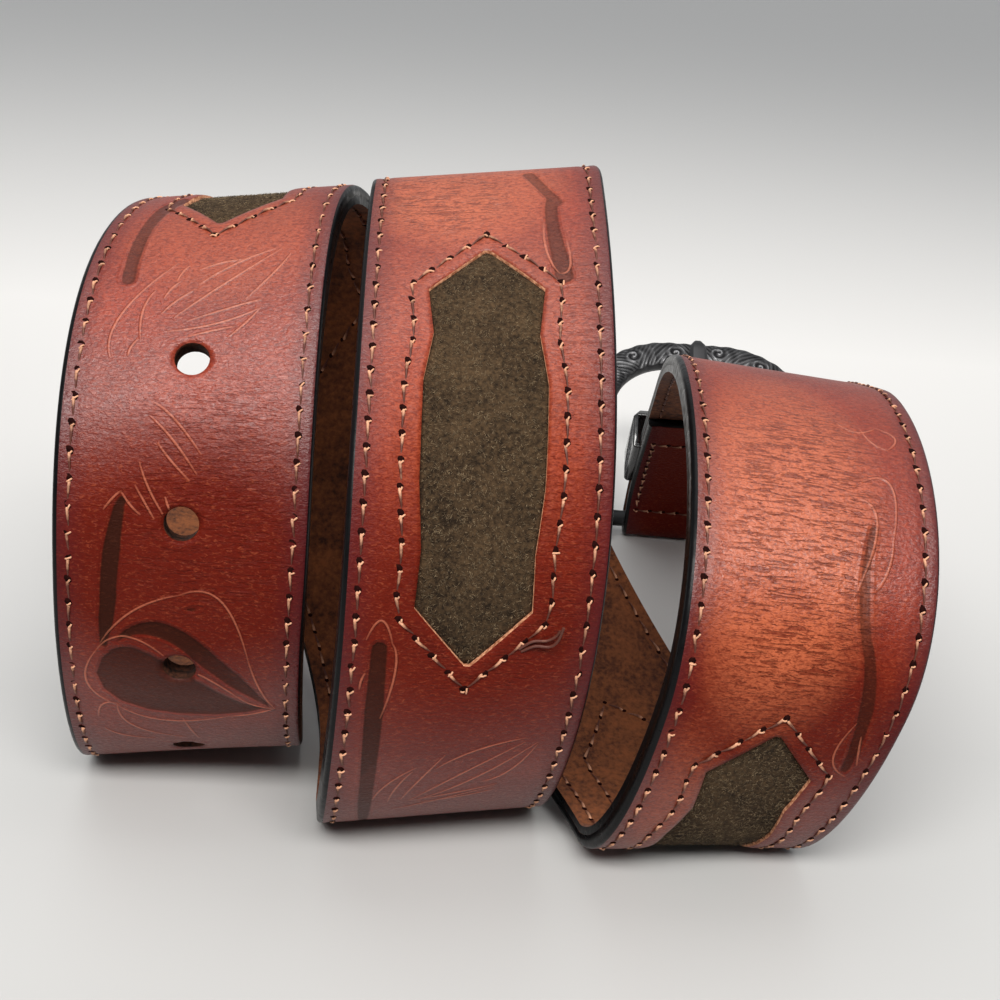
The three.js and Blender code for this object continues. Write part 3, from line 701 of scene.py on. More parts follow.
def grain_material():
    material, tree, shader = new_material("tooled_grain_leather")
    place = node(tree, "ShaderNodeTexCoord").outputs["Object"]
    cloudy = noise(tree, place, 60.0, detail=4.0, roughness=0.6)
    speckle = noise(tree, place, 1900.0, detail=3.0, roughness=0.7)
    pebble = noise(tree, place, 750.0, detail=2.0, distortion=0.8)
    pores = node(tree, "ShaderNodeTexVoronoi", {"Vector": place, "Scale": 1300.0}).outputs["Distance"]
    along, across = value_of(tree, "along"), value_of(tree, "across")
    stretched = {0: times(tree, along, 1900.0), 1: times(tree, across, 270.0), 2: 0.0}
    flat = node(tree, "ShaderNodeCombineXYZ", stretched).outputs[0]
    wrinkle = noise(tree, flat, 1.0, detail=3.0, distortion=0.9)
    stretched = {0: times(tree, along, 2700.0), 1: times(tree, across, 1150.0), 2: 0.0}
    flat = node(tree, "ShaderNodeCombineXYZ", stretched).outputs[0]
    hair = noise(tree, flat, 1.0, detail=2.5, distortion=1.1)
    crease = times(tree, value_of(tree, "creased"), ranged(tree, wrinkle, 0.46, 0.38))
    worn_and_highlight = times(tree, value_of(tree, "worn_and_highlight"), ranged(tree, cloudy, 0.25, 0.6, 0.6, 1.0))
    gap = value_of(tree, "dyed")
    dyed = times(tree, value_of(tree, "tint"), stepped(tree, gap, -0.00012, 0.00022))
    # The cuts' tone: a painted highlight on each crest and painted shade along its sides.
    cut = value_of(tree, "cut")
    valley = ranged(tree, cut, 0.0, -1.0)
    lip = ranged(tree, cut, 0.0, 1.0)
    colour = mixed(tree, ranged(tree, cloudy, 0.30, 0.72, 0.0, 0.55), leather_red, leather_deep)
    # Painted shade on the loops' fronts and lower parts, the back slope and the flap.
    colour = mixed(tree, times(tree, value_of(tree, "painted_shade"), 0.85), colour, leather_deep)
    # Paler leather where it is rubbed, and as a painted highlight on the loops' lit bands.
    colour = mixed(tree, worn_and_highlight, colour, leather_pale)
    colour = mixed(tree, ranged(tree, speckle, 0.50, 0.72, 0.0, 0.45), colour, leather_deep)
    colour = mixed(tree, ranged(tree, hair, 0.53, 0.36, 0.0, 0.60), colour, leather_deep)
    colour = mixed(tree, ranged(tree, hair, 0.56, 0.72, 0.0, 0.28), colour, leather_pale)
    rim_share = ranged(tree, value_of(tree, "inward"), 0.0052, 0.0004, 0.0, 0.8)
    colour = mixed(tree, rim_share, colour, leather_rim)
    # The creases are darkened with painted shade.
    colour = mixed(tree, times(tree, crease, 0.6), colour, leather_deep)
    colour = mixed(tree, dyed, colour, leather_dye_and_cut_shade)
    # Painted highlight on the cuts' crests, then painted shade beside them.
    colour = mixed(tree, times(tree, lip, 0.60), colour, cut_crest_highlight)
    colour = mixed(tree, times(tree, valley, 0.80), colour, leather_dye_and_cut_shade)
    tree.links.new(colour, shader.inputs["Base Color"])
    waxed = ranged(tree, value_of(tree, "matt"), 0.0, 1.0, 0.52, 0.06)
    shine = times(tree, waxed, ranged(tree, dyed, 0.0, 1.0, 1.0, 0.3))
    tree.links.new(shine, shader.inputs["Specular IOR Level"])
    rough = added(tree, ranged(tree, speckle, 0.3, 0.7, 0.34, 0.50), times(tree, dyed, 0.12))
    tree.links.new(rough, shader.inputs["Roughness"])
    edge_lip = times(tree, stepped(tree, gap, -0.0009, -0.0004), stepped(tree, gap, -0.0001, -0.0004))
    depths = [(pores, 0.000075), (speckle, 0.00005), (pebble, 0.00010), (hair, 0.00016)]
    fine = added(tree, *[times(tree, pattern, depth) for pattern, depth in depths])
    floor_of_stroke = times(tree, stepped(tree, gap, -0.0002, 0.0005), -0.00022)
    pressed = added(tree, floor_of_stroke, times(tree, edge_lip, 0.00010))
    height = added(tree, fine, pressed, times(tree, crease, -0.00022))
    bumped(tree, shader, 0.85, 1.0, height)
    return material


def edge_material():
    material, tree, shader = new_material(
        "black_edge_paint", Base_Color=(0.004, 0.004, 0.0045, 1.0), Specular_IOR_Level=0.12)
    place = node(tree, "ShaderNodeTexCoord").outputs["Object"]
    rough = noise(tree, place, 700.0, detail=3.0)
    tree.links.new(ranged(tree, rough, 0.3, 0.7, 0.24, 0.42), shader.inputs["Roughness"])
    bumped(tree, shader, 0.5, 0.0001, rough)
    return material


def cut_material(name, dark, light):
    material, tree, shader = new_material(name, Roughness=0.85, Specular_IOR_Level=0.15)
    place = node(tree, "ShaderNodeTexCoord").outputs["Object"]
    fibre = noise(tree, place, 1600.0, detail=3.0)
    tree.links.new(mixed(tree, ranged(tree, fibre, 0.35, 0.65), dark, light), shader.inputs["Base Color"])
    bumped(tree, shader, 0.5, 0.0001, fibre)
    return material


def flesh_material():
    material, tree, shader = new_material("leather_flesh_side", Roughness=0.95)
    place = node(tree, "ShaderNodeTexCoord").outputs["Object"]
    fibre = noise(tree, place, 1100.0, detail=5.0, roughness=0.7)
    dark, light = (0.07, 0.022, 0.010, 1.0), (0.17, 0.060, 0.026, 1.0)
    colour = mixed(tree, ranged(tree, fibre, 0.35, 0.65), dark, light)
    tree.links.new(colour, shader.inputs["Base Color"])
    bumped(tree, shader, 0.6, 0.0002, fibre)
    return material


grain_leather = grain_material()
edge_paint = edge_material()
raw_cut = cut_material("raw_cut_leather", (0.22, 0.075, 0.034, 1.0), (0.62, 0.30, 0.17, 1.0))
# The punched holes' and the prong slot's walls are painted dark brown, a painted shade inside the holes.
punched_wall_shade = cut_material("punched_hole_wall_shade", (0.012, 0.005, 0.003, 1.0), (0.060, 0.020, 0.010, 1.0))
flesh_side = flesh_material()
for material in (grain_leather, edge_paint, raw_cut, flesh_side, punched_wall_shade):
    face_mesh.materials.append(material)
strap_grain = new_piece("strap_grain", face_mesh, "strap")
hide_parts("strap_face")


# Strap, inner layer. A suede lining glued and sewn behind the grain leather, as far as the flap. It is
# brown with a soft nap, carries the same five holes, and shares the painted edge.
lining_end = strap_length - lining_stop


def lining_top(at, across):
    return np.full(at.shape, -lining_depth)


def lining_low(places):
    return np.full(len(places), -lining_bottom)


lining_places = ring_places(lining_end, holes, [])
lining_mesh, lining_at, lining_across, lining_inward = ring_mesh(
    "strap_lining_suede", lining_places, holes, half_width_at, lining_top, lining_low, 0.00002, (6, 8))
turn_faces_out(lining_mesh)
give_values(lining_mesh, along=lining_at, across=lining_across, inward=lining_inward)

suede_dark = (0.040, 0.0095, 0.0030, 1.0)
suede_light = (0.240, 0.072, 0.020, 1.0)


def suede_material():
    material, tree, shader = new_material("brown_lining_suede", Roughness=0.95, Sheen_Weight=0.04)
    place = node(tree, "ShaderNodeTexCoord").outputs["Object"]
    nap = noise(tree, place, 1000.0, detail=4.0, roughness=0.65)
    patch = noise(tree, place, 90.0, detail=4.0, roughness=0.6)
    share = added(tree, times(tree, nap, 0.6), times(tree, patch, 0.5))
    colour = mixed(tree, ranged(tree, share, 0.42, 0.68), suede_dark, suede_light)
    tree.links.new(colour, shader.inputs["Base Color"])
    bumped(tree, shader, 0.8, 0.0002, nap)
    return material


lining_suede = suede_material()
for material in (lining_suede, edge_paint, raw_cut, lining_suede, punched_wall_shade):
    lining_mesh.materials.append(material)
strap_lining = new_piece("strap_lining_suede", lining_mesh, "strap", smooth=False)
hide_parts("strap_lining")


# Window panels. Olive-brown split suede set behind each cut-out, a millimetre below the grain. The nap
# stands up a little in the middle, and pale fibres lie all over it.
panel_top = -0.0009
panel_crown = 0.0002
fibre_count = 5200
fibre_seed = 11


def panel_mesh(name, opening):
    first, last = opening[0][0], opening[-1][0]
    places = np.unique(np.concatenate([np.linspace(first, last, 70), [at for at, half in opening]]))
    halves = np.interp(places, *np.array(opening).T)
    columns = np.linspace(-1.0, 1.0, 25)
    across = halves[:, None] * columns
    at = np.repeat(places[:, None], len(columns), 1)
    dome = (1.0 - columns**4) * np.minimum(1.0, halves[:, None] / 0.004)
    top = on_strap(at, across, panel_top + panel_crown * dome)
    low = on_strap(at, across, np.full(at.shape, -lining_depth))
    rows, size = at.shape
    count = rows * size
    grid = np.arange(count).reshape(rows, size)
    faces = []
    for i in range(rows - 1):
        for j in range(size - 1):
            a, b, c, d = grid[i, j], grid[i, j + 1], grid[i + 1, j + 1], grid[i + 1, j]
            faces.append([a, b, c, d])
            faces.append([a + count, d + count, c + count, b + count])
    border = list(grid[0, :]) + list(grid[1:, -1]) + list(grid[-1, -2::-1]) + list(grid[-2:0:-1, 0])
    for a, b in zip(border, border[1:] + border[:1]):
        faces.append([a, a + count, b + count, b])
    mesh = bpy.data.meshes.new(name)
    mesh.from_pydata(np.concatenate([top.reshape(-1, 3), low.reshape(-1, 3)]).tolist(), [], faces)
    turn_faces_out(mesh)
    return mesh


def inlay_material():
    material, tree, shader = new_material("olive_window_suede", Roughness=1.0, Specular_IOR_Level=0.2)
    place = node(tree, "ShaderNodeTexCoord").outputs["Object"]
    nap = noise(tree, place, 1500.0, detail=4.0, roughness=0.7)
    patch = noise(tree, place, 160.0, detail=3.0)
    share = added(tree, times(tree, nap, 0.75), times(tree, patch, 0.3))
    dark, light = (0.014, 0.008, 0.004, 1.0), (0.075, 0.045, 0.022, 1.0)
    colour = mixed(tree, ranged(tree, share, 0.40, 0.66), dark, light)
    tree.links.new(colour, shader.inputs["Base Color"])
    bumped(tree, shader, 1.0, 0.0003, nap)
    return material


def fibre_material():
    material, tree, shader = new_material("suede_fibres", Roughness=0.9, Specular_IOR_Level=0.3)
    place = node(tree, "ShaderNodeTexCoord").outputs["Object"]
    tone = noise(tree, place, 1200.0, detail=1.0)
    dark, light = (0.035, 0.021, 0.011, 1.0), (0.230, 0.165, 0.095, 1.0)
    colour = mixed(tree, ranged(tree, tone, 0.35, 0.65), dark, light)
    tree.links.new(colour, shader.inputs["Base Color"])
    return material


def points_object(name, places, along, out, stretch):
    """A mesh of loose points, each with the two directions and the size of what stands there."""
    mesh = bpy.data.meshes.new(name)
    mesh.from_pydata(np.asarray(places).tolist(), [], [])
    for key, vectors in (("along", along), ("out", out), ("stretch", stretch)):
        layer = mesh.attributes.new(key, "FLOAT_VECTOR", "POINT")
        layer.data.foreach_set("vector", np.ascontiguousarray(vectors, np.float32).ravel())
    made = bpy.data.objects.new(name, mesh)
    bpy.context.scene.collection.objects.link(made)
    return made


def repeat_tree(name, sockets, shape):
    """Geometry nodes that set one small shape on every point, turned to the point's directions."""
    tree = bpy.data.node_groups.new(name, "GeometryNodeTree")
    tree.interface.new_socket("Geometry", in_out="INPUT", socket_type="NodeSocketGeometry")
    tree.interface.new_socket("Material", in_out="INPUT", socket_type="NodeSocketMaterial")
    for socket in sockets:
        tree.interface.new_socket(socket, in_out="INPUT", socket_type="NodeSocketFloat")
    tree.interface.new_socket("Geometry", in_out="OUTPUT", socket_type="NodeSocketGeometry")
    given = tree.nodes.new("NodeGroupInput")
    made = tree.nodes.new("NodeGroupOutput")
    stored = {}
    for key in ("along", "out", "stretch"):
        held = node(tree, "GeometryNodeInputNamedAttribute", {"Name": key}, data_type="FLOAT_VECTOR")
        stored[key] = held.outputs[0]
    turn = node(tree, "FunctionNodeAxesToRotation", {0: stored["out"], 1: stored["along"]})
    turn.primary_axis, turn.secondary_axis = "Z", "X"
    inputs = {"Points": given.outputs["Geometry"], "Instance": shape(tree, given), "Scale": stored["stretch"]}
    inputs["Rotation"] = turn.outputs[0]
    placed = node(tree, "GeometryNodeInstanceOnPoints", inputs)
    real = node(tree, "GeometryNodeRealizeInstances", {0: placed.outputs[0]})
    smooth = node(tree, "GeometryNodeSetShadeSmooth", {0: real.outputs[0]})
    inputs = {0: smooth.outputs[0], "Material": given.outputs["Material"]}
    painted = node(tree, "GeometryNodeSetMaterial", inputs)
    tree.links.new(painted.outputs[0], made.inputs[0])
    return tree


def grown_piece(name, source, tree, material, sizes, body):
    """Runs the nodes on the source, keeps the result as a plain mesh and removes the source."""
    modifier = source.modifiers.new(name, "NODES")
    modifier.node_group = tree
    for item in tree.interface.items_tree:
        if item.in_out == "INPUT" and item.name == "Material":
            modifier[item.identifier] = material
        if item.in_out == "INPUT" and item.name in sizes:
            modifier[item.identifier] = sizes[item.name]
    graph = bpy.context.evaluated_depsgraph_get()
    mesh = bpy.data.meshes.new_from_object(source.evaluated_get(graph), depsgraph=graph)
    bpy.data.objects.remove(source)
    mesh.name = name
    for key in ("along", "out", "stretch"):
        if key in mesh.attributes:
            mesh.attributes.remove(mesh.attributes[key])
    piece = bpy.data.objects.new(name, mesh)
    bpy.context.scene.collection.objects.link(piece)
    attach(piece, body)
    return piece


def fibre_shape(tree, given):
    cone = {"Vertices": 3, "Radius Top": 0.0, "Radius Bottom": given.outputs["Root radius"]}
    cone["Depth"] = given.outputs["Length"]
    return node(tree, "GeometryNodeMeshCone", cone).outputs[0]


def fibre_points(opening, count, seed):
    draws = np.random.default_rng(seed)
    places, halves = np.array(opening).T
    at = draws.uniform(places[0], places[-1], count * 2)
    across = draws.uniform(-1.0, 1.0, count * 2) * window_width / 2.0
    kept = np.abs(across) < np.interp(at, places, halves) - 0.0002
    at, across = at[kept][:count], across[kept][:count]
    point, width, normal = strap_frame(at)
    onward = np.cross(normal, width)
    spin = draws.uniform(0.0, 2.0 * math.pi, len(at))[:, None]
    lie = width * np.cos(spin) + onward * np.sin(spin)
    lift = draws.uniform(0.05, 0.5, len(at))[:, None]
    out = unit(lie + normal * lift)
    places = on_strap(at, across, np.full(at.shape, panel_top + panel_crown * 0.9))
    scale = np.ones((len(at), 3))
    scale[:, 2] = draws.uniform(0.5, 1.4, len(at))
    return places, unit(np.cross(out, normal)), out, scale


inlay_suede = inlay_material()
fibre_tree = repeat_tree("suede_nap", ["Root radius", "Length"], fibre_shape)
fibre_sizes = {"Root radius": 0.00005, "Length": 0.00065}
suede_fibre = fibre_material()
for number, opening in enumerate(windows, 1):
    mesh = panel_mesh(f"window_suede_{number}", opening)
    mesh.materials.append(inlay_suede)
    panel = new_piece(f"window_suede_{number}", mesh, "strap")
    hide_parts(f"inlay_panel_{number}")
    nap_name = f"window_nap_{number}"
    scattered = points_object(nap_name, *fibre_points(opening, fibre_count, fibre_seed + number))
    grown_piece(nap_name, scattered, fibre_tree, suede_fibre, fibre_sizes, "strap")


# Stitching. Tan waxed thread in awl holes 4 mm apart: along both edges, round each window, and across
# the flap in two rows. The same rows show as stitches on the lining's side.
stitch_pitch = 0.0041
window_pitch = 0.0039
thread_radius = 0.00021
thread_rise = 0.00034
thread_dip = 0.00022
knot_radius = 0.00015
knot_length = 0.0008
awl_radius = 0.00064
awl_lift = 0.00003
stitch_seed = 5


def row_points(line, pitch):
    """Places at even steps along a line given as along and across."""
    line = np.asarray(line)
    run = np.concatenate([[0.0], np.cumsum(np.linalg.norm(np.diff(line, axis=0), axis=1))])
    count = max(1, round(run[-1] / pitch))
    steps = np.linspace(0.0, run[-1], count + 1)
    return np.stack([np.interp(steps, run, line[:, k]) for k in range(2)], -1)


def offset_outline(outline, margin):
    """A closed outline moved outwards by a margin, with sharp corners."""
    points = np.array(outline)
    edges = unit(np.roll(points, -1, axis=0) - points)
    sides = np.stack([edges[:, 1], -edges[:, 0]], -1)
    before = np.roll(sides, 1, axis=0)
    corner = unit(sides + before)
    reach = margin / np.clip((corner * sides).sum(1), 0.5, 1.0)
    return points + corner * reach[:, None]


def window_row(opening):
    points = [(at, half) for at, half in opening]
    low, high = points[0][0], points[-1][0]
    right = [(low, 0.0)] + points[1:-1] + [(high, 0.0)]
    outline = right + [(at, -half) for at, half in reversed(points[1:-1])]
    moved = offset_outline(outline, -window_stitch_margin)
    if abs(moved[0][0]) > abs(low):
        moved = offset_outline(outline, window_stitch_margin)
    return np.vstack([moved, moved[:1]])


def edge_row(side, start, end):
    at = np.linspace(start, end, 400)
    return np.stack([at, side * (half_width_at(at) - edge_stitch_inset)], -1)


flap_start = strap_length + fold_length
flap_near, flap_far = flap_start + 0.0077, flap_start + 0.0416
flap_side = strap_width / 2.0 - edge_stitch_inset
front_rows = [row_points(edge_row(side, 0.006, strap_length - 0.004), stitch_pitch) for side in (-1.0, 1.0)]
front_rows += [row_points(window_row(opening), window_pitch) for opening in windows]
front_rows += [row_points([(at, -flap_side), (at, flap_side)], 0.0035) for at in (flap_near, flap_far)]
for side in (-flap_side, flap_side):
    front_rows.append(row_points([(flap_near, side), (flap_far, side)], 0.0035))
back_rows = [row_points(edge_row(side, 0.006, lining_end - 0.002), stitch_pitch) for side in (-1.0, 1.0)]
back_rows += [row_points(window_row(opening), window_pitch) for opening in windows]


def stitch_places(rows, height, facing):
    """Middle, direction, outward side and length of the thread between neighbouring awl holes."""
    middles, alongs, outs, lengths, pits, pit_alongs, pit_outs = [], [], [], [], [], [], []
    for row in rows:
        level = height(row[:, 0], row[:, 1])
        holes_at = on_strap(row[:, 0], row[:, 1], level)
        normals = strap_frame(row[:, 0])[2] * facing
        step = holes_at[1:] - holes_at[:-1]
        step = step * np.where(row[1:, 0] < row[:-1, 0], -1.0, 1.0)[:, None]
        size = np.linalg.norm(step, axis=1)
        normal = unit(normals[1:] + normals[:-1])
        middles.append((holes_at[1:] + holes_at[:-1]) / 2.0)
        alongs.append(step / size[:, None])
        outs.append(normal)
        lengths.append(size)
        pits.append(holes_at + normals * awl_lift)
        pit_alongs.append(unit(np.vstack([step, step[-1:]])))
        pit_outs.append(normals)
    parts = (middles, alongs, outs, lengths, pits, pit_alongs, pit_outs)
    return [np.concatenate(part) for part in parts]


def stitch_shape(tree, given):
    dip = maths(tree, "MULTIPLY", given.outputs["Dip"], -1.0)
    rise = maths(tree, "MULTIPLY", given.outputs["Rise"], 2.0)
    start = node(tree, "ShaderNodeCombineXYZ", {0: -0.5, 1: -0.00012, 2: dip}).outputs[0]
    top = node(tree, "ShaderNodeCombineXYZ", {0: 0.18, 1: 0.0, 2: rise}).outputs[0]
    end = node(tree, "ShaderNodeCombineXYZ", {0: 0.5, 1: 0.00012, 2: dip}).outputs[0]
    inputs = {"Resolution": 8, "Start": start, "Middle": top, "End": end}
    arc = node(tree, "GeometryNodeCurveQuadraticBezier", inputs)
    run = node(tree, "GeometryNodeSplineParameter").outputs["Factor"]
    inputs = {"Geometry": arc.outputs[0], "Name": "run", "Value": run}
    marked = node(tree, "GeometryNodeStoreNamedAttribute", inputs, data_type="FLOAT")
    inputs = {"Resolution": 6, "Radius": given.outputs["Radius"]}
    ring = node(tree, "GeometryNodeCurvePrimitiveCircle", inputs)
    thickness = node(tree, "ShaderNodeMapRange", {0: run, 1: 0.1, 2: 0.9, 3: 0.55, 4: 1.2}).outputs[0]
    inputs = {"Curve": marked.outputs[0], "Profile Curve": ring.outputs[0], "Fill Caps": True}
    inputs["Scale"] = thickness
    return node(tree, "GeometryNodeCurveToMesh", inputs).outputs[0]


def knot_shape(tree, given):
    reach = maths(tree, "MULTIPLY", given.outputs["Length"], 0.5)
    start = node(tree, "ShaderNodeCombineXYZ", {0: times(tree, reach, -1.0), 2: -0.0001}).outputs[0]
    top = node(tree, "ShaderNodeCombineXYZ", {2: 0.0003}).outputs[0]
    end = node(tree, "ShaderNodeCombineXYZ", {0: reach, 2: -0.00008}).outputs[0]
    inputs = {"Resolution": 4, "Start": start, "Middle": top, "End": end}
    arc = node(tree, "GeometryNodeCurveQuadraticBezier", inputs)
    # The knots take the thread's lightest colour all along, a painted highlight.
    inputs = {"Geometry": arc.outputs[0], "Name": "run", "Value": 1.0}
    marked = node(tree, "GeometryNodeStoreNamedAttribute", inputs, data_type="FLOAT")
    inputs = {"Resolution": 6, "Radius": given.outputs["Radius"]}
    ring = node(tree, "GeometryNodeCurvePrimitiveCircle", inputs)
    inputs = {"Curve": marked.outputs[0], "Profile Curve": ring.outputs[0], "Fill Caps": True}
    return node(tree, "GeometryNodeCurveToMesh", inputs).outputs[0]


def pit_shape(tree, given):
    inputs = {"Vertices": 7, "Radius": given.outputs["Radius"], "Depth": given.outputs["Depth"]}
    return node(tree, "GeometryNodeMeshCylinder", inputs).outputs[0]


def thread_material():
    material, tree, shader = new_material("waxed_tan_thread", Roughness=0.6)
    place = node(tree, "ShaderNodeTexCoord").outputs["Object"]
    tone = noise(tree, place, 400.0, detail=3.0, roughness=0.7)
    ply = noise(tree, place, 3000.0, detail=2.0)
    # The thread is painted lighter where it leaves each hole and darker towards the next: a painted highlight
    # and painted shade along each stitch.
    highlight_near_hole = maths(tree, "POWER", value_of(tree, "run"), 2.0)
    bright = added(tree, highlight_near_hole, ranged(tree, tone, 0.35, 0.65, -0.30, 0.30))
    dark, light = (0.085, 0.018, 0.008, 1.0), (0.62, 0.31, 0.18, 1.0)
    colour = mixed(tree, ranged(tree, bright, 0.25, 0.95), dark, light)
    tree.links.new(colour, shader.inputs["Base Color"])
    bumped(tree, shader, 0.5, 0.0001, ply)
    return material


def pit_material():
    material, tree, shader = new_material("awl_hole_shadow", Roughness=0.9, Specular_IOR_Level=0.05)
    place = node(tree, "ShaderNodeTexCoord").outputs["Object"]
    tone = noise(tree, place, 2200.0, detail=1.0)
    colour = mixed(tree, tone, (0.004, 0.001, 0.001, 1.0), (0.022, 0.004, 0.003, 1.0))
    tree.links.new(colour, shader.inputs["Base Color"])
    return material


waxed_thread = thread_material()
awl_shadow = pit_material()
stitch_tree = repeat_tree("saddle_stitch", ["Radius", "Rise", "Dip"], stitch_shape)
pit_tree = repeat_tree("awl_hole", ["Radius", "Depth"], pit_shape)


def stitched(name, rows, height, facing, hole_size):
    middle, along, out, size, pit, pit_along, pit_out = stitch_places(rows, height, facing)
    draws = np.random.default_rng(stitch_seed)
    side = np.cross(out, along)
    along = unit(along + side * draws.normal(0.0, 0.06, len(size))[:, None])
    stretch = np.stack([size * 0.90, np.ones(len(size)), draws.uniform(0.7, 1.25, len(size))], -1)
    source = points_object(name, middle, along, out, stretch)
    sizes = {"Radius": thread_radius, "Rise": thread_rise, "Dip": thread_dip}
    grown_piece(name, source, stitch_tree, waxed_thread, sizes, "strap")
    side = np.cross(pit_out, pit_along)
    lean = draws.uniform(0.5, 1.1, len(pit))[:, None]
    slant = unit(pit_along + side * lean)
    long = draws.uniform(0.95, 1.35, len(pit)) * hole_size
    wide = draws.uniform(0.75, 1.0, len(pit)) * hole_size
    stretch = np.stack([long, wide, np.ones(len(pit))], -1)
    source = points_object(name + "_holes", pit, slant, pit_out, stretch)
    sizes = {"Radius": awl_radius, "Depth": 0.00010}
    grown_piece(name + "_holes", source, pit_tree, awl_shadow, sizes, "strap")
    return pit, pit_along, side, pit_out


def back_height(at, across):
    return np.full(at.shape, -lining_bottom)


pit, pit_along, pit_side, pit_out = stitched("front_stitches", front_rows, grain_height, 1.0, 1.0)
stitched("back_stitches", back_rows, back_height, -1.0, 0.6)

# The next thread's end crosses each front hole's lower corner as a short slanted dash
draws = np.random.default_rng(stitch_seed)
knot_turn = draws.normal(0.9, 0.25, len(pit))[:, None]
knot_along = unit(pit_along * np.cos(knot_turn) - pit_side * np.sin(knot_turn))
knot_places = pit - pit_along * 0.00042 - pit_side * 0.00012 + pit_out * 0.00010
knot_stretch = np.stack([draws.uniform(0.7, 1.25, len(pit)), np.ones(len(pit)), np.ones(len(pit))], -1)
knot_source = points_object("front_knots", knot_places, knot_along, pit_out, knot_stretch)
knot_tree = repeat_tree("thread_knot", ["Radius", "Length"], knot_shape)
knot_sizes = {"Radius": knot_radius, "Length": knot_length}
grown_piece("front_knots", knot_source, knot_tree, waxed_thread, knot_sizes, "strap")


# Tooled cuts. The swivel knife's strokes on the grain: fans of feathers, a folded leaf and the outlines
# of the dyed strokes. Each is a soft ridge, coloured pale along its crest as a painted highlight and dark
# along either side as painted shade.
cut_half = 0.00046
# Rows across a cut: share of the half width, height and tone; a tone above nought is a painted highlight,
# below nought painted shade.
cut_profile = [(-1.0, -0.00009, 0.0), (-0.70, 0.00001, -0.55), (-0.42, 0.00004, 0.0), (-0.22, 0.00010, 1.0)]
cut_profile += [(0.0, 0.00011, 1.0), (0.22, 0.00010, 1.0), (0.42, 0.00004, 0.0), (0.70, 0.00001, -0.55)]
cut_profile += [(1.0, -0.00009, 0.0)]
cut_samples = 26


def tooled_cut(line):
    """Points of one cut, as along, across, height and depth of the cut's tone, row by row."""
    middle = bent_line(line, cut_samples)
    onward = unit(np.gradient(middle, axis=0))
    side = np.stack([-onward[:, 1], onward[:, 0]], -1)
    share = np.sqrt(np.sin(np.linspace(0.12, math.pi - 0.12, cut_samples)))
    rows = np.array(cut_profile)
    offset = rows[:, 0] * cut_half * (0.55 + 0.45 * share[:, None])
    places = middle[:, None] + side[:, None] * offset[..., None]
    height = np.where(rows[:, 1] > 0.0, rows[:, 1] * share[:, None], rows[:, 1])
    tone = rows[:, 2] * share[:, None]
    return places[..., 0], places[..., 1], height, tone


def cuts_mesh(lines):
    at, across, height, tone = (np.stack(part) for part in zip(*[tooled_cut(line) for line in lines]))
    count, rows, size = at.shape
    points = on_strap(at, across, grain_height(at, across) + height).reshape(-1, 3)
    grid = np.arange(count * rows * size).reshape(count, rows, size)
    corners = (grid[:, :-1, :-1], grid[:, 1:, :-1], grid[:, 1:, 1:], grid[:, :-1, 1:])
    faces = np.stack([part.ravel() for part in corners], 1).tolist()
    mesh = bpy.data.meshes.new("tooled_cuts")
    mesh.from_pydata(points.tolist(), [], faces)
    inward = half_width_at(at) - np.abs(across)
    to_hole = np.min([np.hypot(at - middle, across) for middle in hole_places], axis=0).ravel()
    over_hole = [face for face in range(len(faces)) if to_hole[faces[face]].min() < hole_radius + 0.0001]
    give_values(mesh, **grain_values(at.ravel(), across.ravel(), inward.ravel(), tone.ravel()))
    shape = bmesh.new()
    shape.from_mesh(mesh)
    shape.faces.ensure_lookup_table()
    bmesh.ops.delete(shape, geom=[shape.faces[face] for face in over_hole], context="FACES")
    shape.to_mesh(mesh)
    shape.free()
    return mesh


cut_mesh = cuts_mesh(fan_lines + leaf_lines)
cut_mesh.materials.append(grain_leather)
new_piece("tooled_cuts", cut_mesh, "strap")


# Loose thread. The window's stitching was finished off with a doubled thread whose end stands away
# from the leather at the middle window's lower corner.
tail_rows = [
    [(459.0, 7.6, 0.0), (460.2, 9.4, 0.5), (460.4, 11.4, 0.9), (461.6, 12.4, 1.4), (464.0, 12.9, 1.9)],
    [(459.4, 7.2, 0.0), (460.9, 9.0, 0.4), (461.2, 11.0, 0.6), (462.2, 12.2, 1.0), (463.2, 12.6, 1.3)],
]


def smooth_line(points, count):
    points = np.array(points) * millimetre
    knots = np.arange(len(points), dtype=float)
    fine = np.linspace(0.0, len(points) - 1.0, count)
    return np.stack([smooth_along(knots, points[:, k], fine) for k in range(3)], -1)


def make_bead_tree():
    tree = bpy.data.node_groups.new("thread_tail", "GeometryNodeTree")
    tree.interface.new_socket("Geometry", in_out="INPUT", socket_type="NodeSocketGeometry")
    tree.interface.new_socket("Material", in_out="INPUT", socket_type="NodeSocketMaterial")
    tree.interface.new_socket("Radius", in_out="INPUT", socket_type="NodeSocketFloat")
    tree.interface.new_socket("Geometry", in_out="OUTPUT", socket_type="NodeSocketGeometry")
    given = tree.nodes.new("NodeGroupInput")
    made = tree.nodes.new("NodeGroupOutput")
    inputs = {"Resolution": 8, "Radius": given.outputs["Radius"]}
    ring = node(tree, "GeometryNodeCurvePrimitiveCircle", inputs)
    inputs = {"Curve": given.outputs["Geometry"], "Profile Curve": ring.outputs[0], "Fill Caps": True}
    swept = node(tree, "GeometryNodeCurveToMesh", inputs)
    real = node(tree, "GeometryNodeRealizeInstances", {0: swept.outputs[0]})
    smooth = node(tree, "GeometryNodeSetShadeSmooth", {0: real.outputs[0]})
    inputs = {0: smooth.outputs[0], "Material": given.outputs["Material"]}
    painted = node(tree, "GeometryNodeSetMaterial", inputs)
    tree.links.new(painted.outputs[0], made.inputs[0])
    return tree


